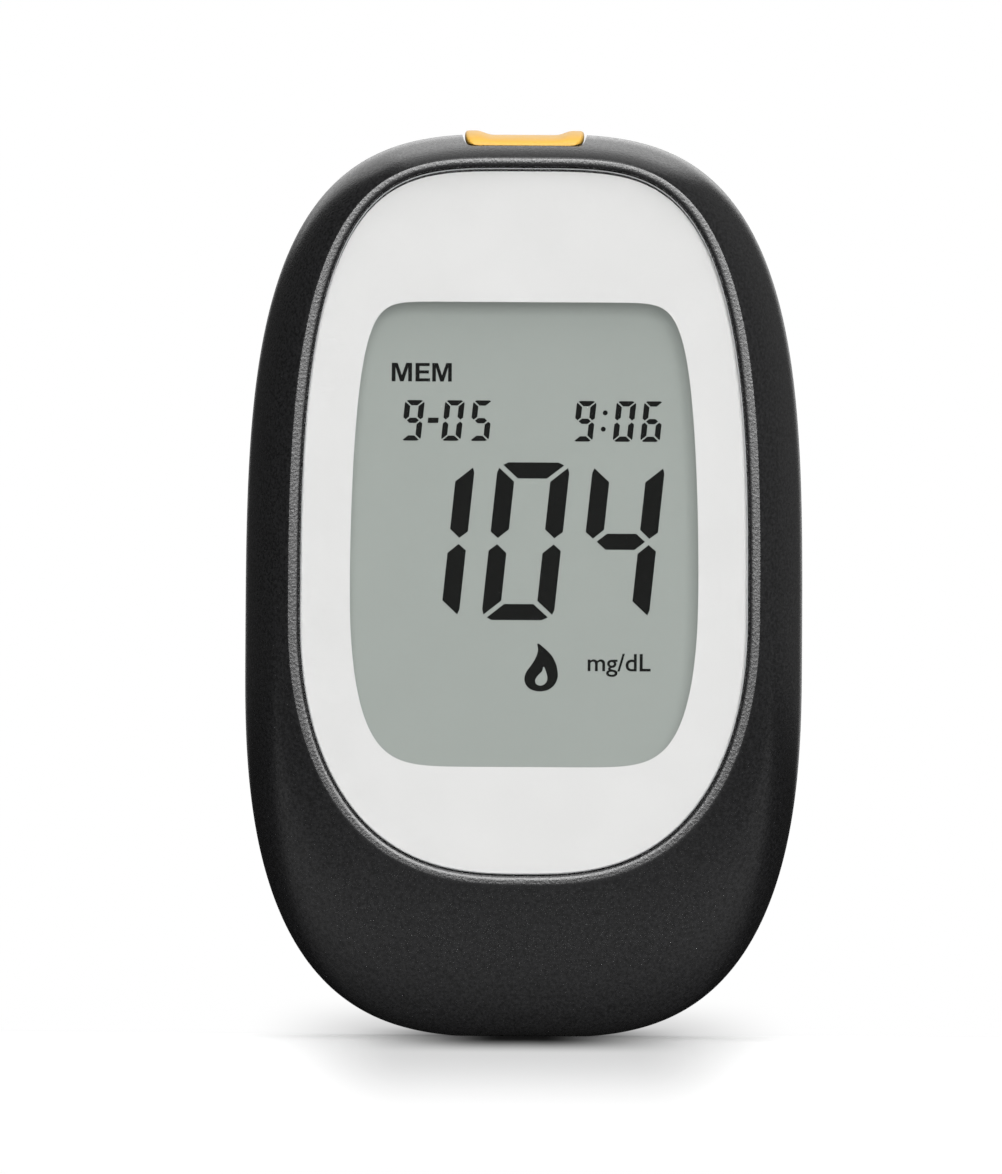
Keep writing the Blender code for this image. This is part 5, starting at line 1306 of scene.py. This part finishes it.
@dataclass
class Readout:
    """What the display shows: a reading, a date, a time, a drop mark and two words."""

    thickness: float = 0.03
    big: Digit = Digit(6.87, 15.0, 1.72, 1.53)
    small: Digit = Digit(1.87, 3.86, 0.54, 0.5)
    reading: tuple[tuple[str, float], ...] = (("1", -13.1), ("0", -4.07), ("4", 4.97))
    reading_z: float = 39.6
    date: tuple[tuple[str, float], ...] = (("9", -11.79), ("0", -7.98), ("5", -5.31))
    time: tuple[tuple[str, float], ...] = (("9", 4.55), ("0", 8.33), ("6", 10.95))
    row_z: float = 56.61

    @property
    def depths(self) -> Pair:
        """Front and back of every plate: each is sunk into the display by half."""
        return STACK.display - self.thickness, STACK.display + self.thickness

    def plates(self, name: str, outlines: Sequence[Array]) -> Obj:
        """Thin plates on the display as one piece: each outline at both depths, with quads between them.

        Args:
            name: the piece's name.
            outlines: closed loops of (x, z).

        Returns:
            The object.
        """
        points, faces, start = [], [], 0
        for outline in outlines:
            points += [ring(outline, depth) for depth in self.depths]
            near = start + np.arange(len(outline))
            far = near + len(outline)
            faces += [near.tolist(), far[::-1].tolist()]
            faces += np.stack([near, far, np.roll(far, -1), np.roll(near, -1)], axis=1).tolist()
            start += 2 * len(outline)
        return settle(closed(name, np.vstack(points), faces), SEGMENT, Body.CASE)

    def capitals(self) -> list[Array]:
        """The memory mark: bold capitals, their corners written as shares of width and height."""
        wide = [(0, 0), (0, 1), (0.29, 1), (0.5, 0.34), (0.71, 1), (1, 1), (1, 0), (0.81, 0), (0.81, 0.76)]
        wide += [(0.59, 0), (0.41, 0), (0.19, 0.76), (0.19, 0)]
        narrow = [(0, 0), (0, 1), (0.97, 1), (0.97, 0.83), (0.28, 0.83), (0.28, 0.6), (0.92, 0.6)]
        narrow += [(0.92, 0.43), (0.28, 0.43), (0.28, 0.17), (1, 0.17), (1, 0)]
        places = ((wide, -12.69, 1.93), (narrow, -10.43, 1.38), (wide, -8.84, 1.86))
        low, height = 62.24, 1.76
        return [np.array(shares) * (width, height) + (x, low) for shares, x, width in places]

    def drop(self) -> Obj:
        """The drop mark: two closed curves through a few points, the inner left clear, joined by quads."""
        outer = [(1.33, 37.4), (1.36, 36.75), (1.16, 36.07), (0.74, 35.35), (0.29, 34.73), (0.08, 34.11)]
        outer += [(0.18, 33.55), (0.54, 33.12), (1.06, 32.89), (1.65, 32.84), (2.32, 32.98), (2.91, 33.42)]
        outer += [(3.22, 34.05), (3.25, 34.62), (3.1, 35.4), (2.7, 36.2), (2.07, 36.86)]
        inner = [(1.92, 35.18), (1.75, 34.75), (1.35, 34.33), (1.12, 33.93), (1.2, 33.56), (1.58, 33.39)]
        inner += [(2.02, 33.54), (2.25, 33.95), (2.2, 34.5)]
        out, hole = (resampled(smooth_loop(np.array(points)), 97)[:-1] for points in (outer, inner))
        front, back = self.depths
        rings = [ring(out, front), ring(hole, front), ring(hole, back), ring(out, back)]
        return settle(skin("drop_mark", rings, wrap=True), SEGMENT, Body.CASE)

    def word(self, name: str, text: str, x: Pair, z: float, height: float) -> Obj:
        """A word as a thin plate.

        Args:
            name: the piece's name.
            text: the word.
            x: left and right ends.
            z: the baseline.
            height: the type's size.

        Returns:
            The object.
        """
        curve = bpy.data.curves.new(name, "FONT")
        curve.body, curve.offset, curve.extrude = text, 0.01, 0.01
        typed = linked(name, curve)
        mesh = bpy.data.meshes.new_from_object(typed.evaluated_get(bpy.context.evaluated_depsgraph_get()))
        bpy.data.objects.remove(typed)
        place = np.empty(len(mesh.vertices) * 3)
        mesh.vertices.foreach_get("co", place)
        along, up, thick = place.reshape(-1, 3).T
        across = np.interp(along, (along.min(), along.max()), x)
        deep = STACK.y(STACK.display) - np.sign(thick) * self.thickness
        faces = [list(face.vertices) for face in mesh.polygons]
        word = closed(name, np.column_stack([across, deep, z + up * height]), faces)
        return settle(word, SEGMENT, Body.CASE)

    def build(self) -> None:
        """All that the display shows."""
        digits = [o for text, x in self.reading for o in self.big.outlines(text, x, self.reading_z)]
        digits += [o for text, x in self.date + self.time for o in self.small.outlines(text, x, self.row_z)]
        dash = np.array([(-9.25, 58.3), (-9.2, 58.8), (-8.2, 58.8), (-8.25, 58.3)])
        dots = [circle(x, z, 0.24, 16) for x, z in ((7.63, 59.35), (7.45, 57.8))]
        self.plates("display_digits", [*digits, dash, *dots])
        self.drop()
        self.plates("display_word_memory", self.capitals())
        self.word("display_word_unit", "mg/dL", (6.09, 12.08), 34.81, 2.35)


# Controls on the back


@dataclass
class Keys:
    """The main key in its dish and the set key under the door: turned caps with a stem and a flange."""

    set_radius: float = 1.6

    def cap(self, radius: float, top: float, dish: float, edge: float) -> list[Pair]:
        """The profile of a cap's top: a shallow dish, depth dish * cos^2, and a rounded edge.

        Args:
            radius: the cap's radius.
            top: the depth of its rim.
            dish: how deep the dish is.
            edge: the radius of its edge.

        Returns:
            (radius, depth) pairs from the middle outwards.
        """
        share = np.linspace(0, 1, 9)
        bowl = zip((radius - edge) * share, top - dish * np.cos(QUARTER * share) ** 2)
        return [*bowl, *((radius - inset, top - down) for inset, down in fillet(edge, 5)[-2::-1])]

    def build(self) -> None:
        """Both keys."""
        radius, small, seat = PLAN.key_radius, self.set_radius, STACK.key_seat
        profile = self.cap(radius, STACK.back - 0.35, 0.35, 0.45)
        profile += [(radius, 15.3), (radius + 1, 15.3), (radius + 1, 14.6)]
        profile += [(1.5, 14.6), (1.5, seat), (0, seat)]
        main = turned("main_keycap", 0, PLAN.key_z, profile, 96)
        settle(main, KEY_ABS, Body.MAIN_BUTTON, "main_key")
        profile = self.cap(small, 15.3, 0.08, 0.25)
        profile += [(small, 13.3), (2.3, 13.3), (2.3, 12.8), (1.1, 12.8), (1.1, seat), (0, seat)]
        settle(turned("set_keycap", 0, PLAN.set_z, profile, 48), KEY_ABS, Body.SET_BUTTON, "set_key")


@dataclass
class EjectKnob:
    """The ejector's knob: a ridged plate with a neck through the slot."""

    half: float = 5.2
    bottom: float = 59.8
    height: float = 7.4
    front: float = 16.4
    thickness: float = 0.9
    corner: float = 1.6
    front_edge: float = 0.15
    edge: float = 0.28
    ridge_depth: float = 0.35
    ridge_pitch: float = 1.5
    ridges: int = 4
    ridge_margin: float = 0.9
    trough: float = 0.52

    def build(self) -> Obj:
        """The knob.

        Formula of its back: rings of the outline drawn in towards the middle, at a depth of back - ridge
        depth * w(z) * m, where w is a row of narrow cosine troughs and m fades to nothing at the edge.
        """
        top, front, back = self.bottom + self.height, self.front, self.front + self.thickness
        outline = rectangle((-self.half, self.half), (self.bottom, top), self.corner, 14)
        outline = resampled(np.vstack([outline, outline[:1]]), 281)[:-1]
        middle = self.bottom + self.height / 2
        rings = [ring(offset(outline, -self.front_edge), front), ring(outline, front + self.front_edge)]
        rings += [ring(offset(outline, -inset), back - down) for inset, down in fillet(self.edge, 5)]
        brim = offset(outline, -self.edge)
        for share in np.linspace(0, 1, 46)[1:]:
            flat = brim + ((0, middle) - brim) * share
            from_middle = flat[:, 1] - middle
            row = (from_middle / self.ridge_pitch + self.ridges / 2) % 1 - 0.5
            trough = np.clip(np.cos(math.pi * row / self.trough), 0, 1) ** 0.7
            inside = np.clip((self.half - self.ridge_margin - np.abs(flat[:, 0])) / 0.5, 0, 1)
            within = np.clip((self.ridge_pitch * self.ridges / 2 - np.abs(from_middle)) / 0.1, 0, 1)
            rings.append(ring(flat, back - self.ridge_depth * trough * inside * within))
        knob = skin("eject_knob", rings)
        weld(knob, block("neck", (-1.5, 1.5), (14.7, 16.85), (middle - 1.7, middle + 1.7), 0.2))
        return settle(knob, KEY_ABS, Body.EJECTOR, "ejector_knob")


@dataclass
class ReturnSpring:
    """The ejector's return spring, an open coil."""

    wire: float = 0.13
    turns: int = 8
    steps: int = 20
    sides: int = 10
    travel: float = 5.0

    def build(self) -> Obj:
        """The spring, in the place of the CAD's.

        Formula: its centre line is a helix, and ring i is a circle of the wire's radius across the helix.

        Returns:
            The object.
        """
        low, high = (np.array(corner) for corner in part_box("ejector_spring"))
        centre, length = (low + high) / 2, high[2] - low[2]
        radius = (high[0] - low[0]) / 2 / MM - self.wire
        share = np.linspace(0, 1, self.turns * self.steps + 1)
        turn = 2 * math.pi * self.turns * share
        out = np.column_stack([np.cos(turn), np.sin(turn), np.zeros_like(turn)])
        line = centre / MM + radius * out
        line[:, 2] = low[2] / MM + self.wire + (length / MM - 2 * self.wire) * share
        across = np.cross(np.gradient(line, axis=0), out)
        across /= np.linalg.norm(across, axis=1)[:, None]
        angle = np.linspace(0, 2 * math.pi, self.sides, endpoint=False)[:, None, None]
        circles = line + self.wire * (np.cos(angle) * out + np.sin(angle) * across)
        spring = skin("return_spring", np.swapaxes(circles, 0, 1))
        settle(spring, STEEL, Body.CASE, "ejector_spring")
        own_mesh(spring)
        return spring


@dataclass
class BatteryBay:
    """The battery door with its hooks and latch, and the coin cell with its gasket."""

    edge: float = 0.3
    soft: float = 0.12
    cell_radius: float = 10.0
    mark_up: float = 4.0

    def door(self) -> Obj:
        """The door: a rounded plate, two hooks, two ribs, a latch tongue between slits, and grip grooves."""
        inner, back, top, soft = STACK.door_inner, STACK.back, PLAN.door[1], self.soft
        outline = rectangle((-PLAN.door_half, PLAN.door_half), PLAN.door, PLAN.door_corner, 14)
        door = slab("battery_lid", outline, (inner, back), soft, self.edge, 5)
        arm = inner + 0.7
        parts: list[Block] = []
        for x in (-7, 7):
            parts.append(("root", (x - 1.5, x + 1.5), (14.3, arm), (9.1, 10.3), soft))
            parts.append(("tab", (x - 1.5, x + 1.5), (14.3, 15.3), (7.0, 10.3), soft))
        parts.append(("latch_root", (-2.6, 2.6), (14.7, arm), (38.1, 38.9), 0.1))
        parts.append(("latch_nose", (-2.6, 2.6), (14.7, 15.3), (38.1, 39.9), 0.1))
        parts += [("rib", (x - 0.5, x + 0.5), (15.2, arm), (15.2, 26.2), soft) for x in (-4.5, 4.5)]
        for part in parts:
            weld(door, block(*part))
        cuts = [rectangle(x, (top - 5, top + 1), 0.28, 6) for x in ((-3.9, -3.3), (3.3, 3.9))]
        tools = [slab("slit", cut, (inner - 1, back + 1)) for cut in cuts]
        for z in (top - 6.5, top - 8, top - 9.5):
            groove = rectangle((-4, 4), (z - 0.3, z + 0.3), 0.29, 6)
            tools.append(pocket(groove, back - 0.4, back, 0.12, 0.1))
        carve(door, *tools)
        carve(door, nail_scoop(0.75))
        return settle(door, BLACK_ABS, Body.DOOR, "battery_door")

    def cell(self) -> Obj:
        """The cell: its can, turned, with a rolled edge and a plus mark, its smaller pole and its gasket."""
        front, back, radius, z = STACK.cell, STACK.cell_back, self.cell_radius, PLAN.cell_z
        crimp, groove, mark = front + 0.5, (8.62, 8.95), z + self.mark_up
        profile = [(0, back), (radius - 1.1, back), (radius - 0.8, back - 0.05)]
        profile += [(radius - inset, back - down) for inset, down in fillet(0.5, 6)[::-1]]
        profile += [(radius, front + 0.7), (radius - 0.2, crimp), (groove[1], crimp), (0, crimp)]
        can = turned("button_cell", 0, z, profile, 128)
        for half_x, half_z in ((1.6, 0.3), (0.3, 1.6)):
            arm = rectangle((-half_x, half_x), (mark - half_z, mark + half_z), 0.12, 3)
            carve(can, slab("plus", arm, (back - 0.08, back + 1)))
        settle(can, CELL_STEEL, Body.CASE, "coin_cell")
        near, far = front + 0.2, front + 0.55
        pole = [(0, front), (8.3, front), (8.6, front + 0.15), (8.6, far), (0, far)]
        settle(turned("cell_pole", 0, z, pole, 96), CELL_STEEL, Body.CASE)
        inside, outside = (circle(0, z, r, 96) for r in groove)
        seal = [ring(inside, near), ring(outside, near), ring(outside, far), ring(inside, far)]
        settle(skin("cell_gasket", seal, wrap=True), GASKET, Body.CASE)
        return can


# CAD nodes that stay as they are, under the finish that they get

KEPT_NODES: dict[Finish, tuple[str, ...]] = {
    ADHESIVE: ("lens_adhesive",),
    WHITE_ABS: ("lcd_holder",),
    ZEBRA: ("zebra_strip_upper", "zebra_strip_lower"),
    BOARD: ("circuit_board",),
    EPOXY: ("processor_chip", "amplifier_chip", "memory_chip", "temperature_sensor"),
    SOCKET: ("buzzer", "strip_connector", "main_switch", "set_switch"),
    GOLD: ("strip_contact_left", "strip_contact_middle", "strip_contact_right"),
    NYLON: ("main_switch_plunger", "set_switch_plunger", "ejector_carriage"),
    STEEL: ("timing_crystal", "reservoir_capacitor", "battery_negative_contact", "battery_positive_contact"),
}


def dress_kept_nodes(nodes: dict[str, Obj]) -> None:
    """Gives each CAD node that stays its finish.

    Args:
        nodes: the CAD nodes by name.
    """
    for finish, names in KEPT_NODES.items():
        for name in names:
            node = nodes[name]
            if not node.material_slots:
                node.data.materials.append(None)
            for slot in node.material_slots:
                slot.material = finish.material()
            LOG.info("%s: kept, %s", name, finish.name)


# Stage, in metres


@dataclass(frozen=True)
class Lamp:
    """A rectangular soft lamp."""

    name: str
    place: Triple
    size: Pair
    power: float

    def build(self, aim: Triple) -> Obj:
        """Builds the lamp.

        Args:
            aim: the point that it shines at.

        Returns:
            The lamp.
        """
        data = bpy.data.lights.new(self.name, "AREA")
        data.shape, data.energy = "RECTANGLE", self.power
        data.size, data.size_y = self.size
        lamp = linked(self.name, data)
        lamp.location = self.place
        lamp.rotation_euler = (Vector(aim) - Vector(self.place)).to_track_quat("-Z", "Y").to_euler()
        return lamp


@dataclass
class Studio:
    """A pale floor with painted shadow under a white background, with soft lamps above right, to the right
    and overhead.
    """

    lamps: tuple[Lamp, ...] = (
        Lamp("key", (0.12, -1.42, 0.38), (0.75, 0.5), 16.3),
        Lamp("front", (0.1, -0.86, 1.12), (0.6, 1.3), 6.8),
        Lamp("top", (0.05, 0.35, 1.05), (0.9, 1.7), 3.2),
        Lamp("rear", (-0.1, 1.15, 0.75), (1.2, 0.9), 3.0),
    )
    aim: Triple = (0.0, 0.0, 0.043)
    world_dim: float = 0.06
    side_glow: float = 0.16
    floor_half: float = 0.65
    # floor_tone: the floor's tone in front of the meter and behind it; the higher one behind is painted
    # light
    floor_tone: Pair = (1.5, 1.95)
    camera_place: Triple = (-2.19 * MM, -2.5, 42.74 * MM)
    field_height: float = 111.8 * MM
    roll: float = -0.317
    sensor: float = 36.0

    def facing(self, tree: Tree, direction: Socket, towards: Triple) -> Socket:
        """How far a direction points a given way."""
        values = {"operation": "DOT_PRODUCT", 0: direction, 1: towards}
        return add_node(tree, "VectorMath", values).outputs["Value"]

    def world(self) -> None:
        """White behind the meter for the camera, and a dim studio with a white sweep for all else."""
        world = bpy.data.worlds.new("studio")
        bpy.context.scene.world = world
        tree = cleared(world)
        direction = add_node(tree, "TexCoord", {}).outputs["Generated"]
        behind = self.facing(tree, direction, Vector((0.05, 1.0, 0.08)).normalized())
        right = self.facing(tree, direction, (1.0, 0.0, 0.2))
        sweep = ramp(tree, behind, (0.93, 0.995), (self.world_dim, 1.0))
        sweep = calc(tree, "ADD", sweep, ramp(tree, right, (0.2, 1.0), (0.0, self.side_glow)))
        path, back = add_node(tree, "LightPath", {}).outputs, calc(tree, "GREATER_THAN", behind, 0.2)
        through = calc(tree, "MULTIPLY", path["Is Transmission Ray"], back)
        seen = calc(tree, "MAXIMUM", path["Is Camera Ray"], through)
        level = add_node(tree, "Mix", {"data_type": "FLOAT", "Factor": seen, 2: sweep, 3: 1.0}).outputs[0]
        light = add_node(tree, "Background", {"Color": (1, 1, 1, 1), "Strength": level}).outputs[0]
        add_node(tree, "OutputWorld", {"Surface": light})

    def pool(self, tree: Tree, edges: Sequence[tuple[Socket, Pair]], depth: float) -> Socket:
        """One soft pool of contact shadow painted on the floor.

        Formula: 1 - depth * the product of (1 - smoothstep) over the edges.

        Args:
            tree: the floor's node tree.
            edges: for each edge, the coordinate, and where the pool starts to clear and is clear.
            depth: how dark the pool is at its middle.

        Returns:
            The factor that the floor's tone is multiplied by.
        """
        shade, *others = (ramp(tree, value, way, (1.0, 0.0)) for value, way in edges)
        for inside in others:
            shade = calc(tree, "MULTIPLY", shade, inside)
        return calc(tree, "MULTIPLY_ADD", shade, -depth, 1.0)

    def floor_material(self) -> bpy.types.Material:
        """For the camera: white, with painted pools of shadow round the meter and painted light behind it.
        For the light that it throws back: dim, with painted shade under the meter and a darker floor farther
        in front.
        """
        material = bpy.data.materials.new("floor_white_painted_shadow")
        tree = cleared(material)
        place = add_node(tree, "TexCoord", {}).outputs["Object"]
        away = add_node(tree, "VectorMath", {"operation": "LENGTH", 0: place}).outputs["Value"]
        parts = add_node(tree, "SeparateXYZ", {"Vector": place}).outputs
        y, side = parts["Y"], calc(tree, "ABSOLUTE", parts["X"])
        # core and veil: the edges of two pools of painted contact shadow round the meter's foot, for the
        # camera
        core = [(side, (0.002, 0.0172)), (y, (-0.016, -0.094)), (y, (0.01, 0.06))]
        veil = [(side, (0.01, 0.027)), (y, (-0.1, -0.62)), (y, (0.0, 0.25))]
        # tone: the floor's colour with the painted shadow pools multiplied in; the far white emission keeps
        # them too
        tone = calc(tree, "MULTIPLY", self.pool(tree, core, 0.985), self.pool(tree, veil, 0.42))
        fade = calc(tree, "MAXIMUM", ramp(tree, away, (0.2, 0.6)), ramp(tree, y, (-0.015, 0.012)))
        white = add_node(tree, "Emission", {"Strength": 1.0, "Color": tone}).outputs[0]
        # painted light: the floor's tone rises behind the meter to wash out the lamps' shadow there
        painted_lift = ramp(tree, y, (0.0, 0.08), self.floor_tone, False)
        near = add_node(tree, "BsdfDiffuse", {"Color": calc(tree, "MULTIPLY", tone, painted_lift)}).outputs[0]
        shown = add_node(tree, "MixShader", {0: fade, 1: near, 2: white}).outputs[0]
        # painted shade for the light that the floor throws back: dark under the meter, dim farther in front,
        # brightest just in front of the foot
        under = ramp(tree, y, (-0.012, 0.004), (0.5, 0.03))
        dim = calc(tree, "MULTIPLY", under, ramp(tree, y, (-0.06, -0.012), (0.15, 1.0)))
        plain = add_node(tree, "BsdfDiffuse", {"Color": dim}).outputs[0]
        seen = add_node(tree, "LightPath", {}).outputs["Is Camera Ray"]
        surface = add_node(tree, "MixShader", {0: seen, 1: plain, 2: shown}).outputs[0]
        add_node(tree, "OutputMaterial", {"Surface": surface})
        return material

    def floor(self) -> Obj:
        """A pale floor with painted shadow where the meter stands, that fades to white away from it."""
        half, low = self.floor_half, -0.004 * MM
        mesh = bpy.data.meshes.new("floor")
        square = [(-half, -half, low), (half, -half, low), (half, half, low), (-half, half, low)]
        mesh.from_pydata(square, [], [(0, 1, 2, 3)])
        mesh.materials.append(self.floor_material())
        floor = linked("floor", mesh)
        floor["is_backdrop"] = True
        return floor

    def camera(self) -> Obj:
        """A long lens 2.5 m away, square to the face, rolled 0.3 degrees, framed as the photograph is."""
        data = bpy.data.cameras.new("camera")
        data.sensor_width = self.sensor
        data.lens = self.sensor * -self.camera_place[1] / self.field_height
        data.clip_start, data.clip_end = 0.1, 50.0
        camera = linked("camera", data)
        roll = Matrix.Rotation(math.radians(self.roll), 4, "Y")
        camera.matrix_world = Matrix.Translation(self.camera_place) @ roll @ Matrix.Rotation(QUARTER, 4, "X")
        bpy.context.scene.camera = camera
        return camera

    def build(self) -> None:
        """The whole stage."""
        self.camera()
        self.world()
        self.floor()
        for lamp in self.lamps:
            lamp.build(self.aim)
        bpy.context.scene.view_settings.view_transform = "Standard"


# The whole

SCREWS: dict[str, Pair] = {
    "case_screw_lower_left": (-15.9, 13.5),
    "case_screw_lower_right": (15.9, 13.5),
    "case_screw_upper_left": (-13.5, 76.4),
    "case_screw_upper_right": (13.5, 76.4),
}


@dataclass
class Meter:
    """The whole meter: the sub-assemblies in building order."""

    port: StripPort = field(default_factory=StripPort)
    front: FrontShell = field(default_factory=FrontShell)
    rear: RearShell = field(default_factory=RearShell)
    face: Face = field(default_factory=Face)
    readout: Readout = field(default_factory=Readout)
    keys: Keys = field(default_factory=Keys)
    knob: EjectKnob = field(default_factory=EjectKnob)
    spring: ReturnSpring = field(default_factory=ReturnSpring)
    bay: BatteryBay = field(default_factory=BatteryBay)

    def build(self, nodes: dict[str, Obj]) -> None:
        """Builds and dresses every piece, and dresses the CAD nodes that stay.

        Args:
            nodes: the CAD nodes by name.
        """
        places = list(SCREWS.values())
        self.front.build(self.port, places)
        self.rear.build(self.port, places)
        self.face.film()
        self.face.display()
        self.face.lens()
        self.readout.build()
        self.port.build(self.front.depth_at(self.port.lip))
        self.keys.build()
        self.knob.build()
        self.spring.build()
        self.bay.door()
        self.bay.cell()
        for node, (x, z) in SCREWS.items():
            CaseScrew(node, x, z).build()
        dress_kept_nodes(nodes)


def corners(bounds: tuple[Any, Any]) -> list[list[float]]:
    """The two corners of a box as plain lists."""
    return [list(map(float, corner)) for corner in bounds]


def main() -> None:
    """Loads the frame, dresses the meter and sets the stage."""
    logging.basicConfig(level=logging.INFO, format="%(name)s %(message)s")
    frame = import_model()
    cad_box = corners(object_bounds())
    Studio().build()
    Meter().build(frame["nodes"])
    {"cad": cad_box, "visual": corners(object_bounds())}


if __name__ == "__main__":
    main()
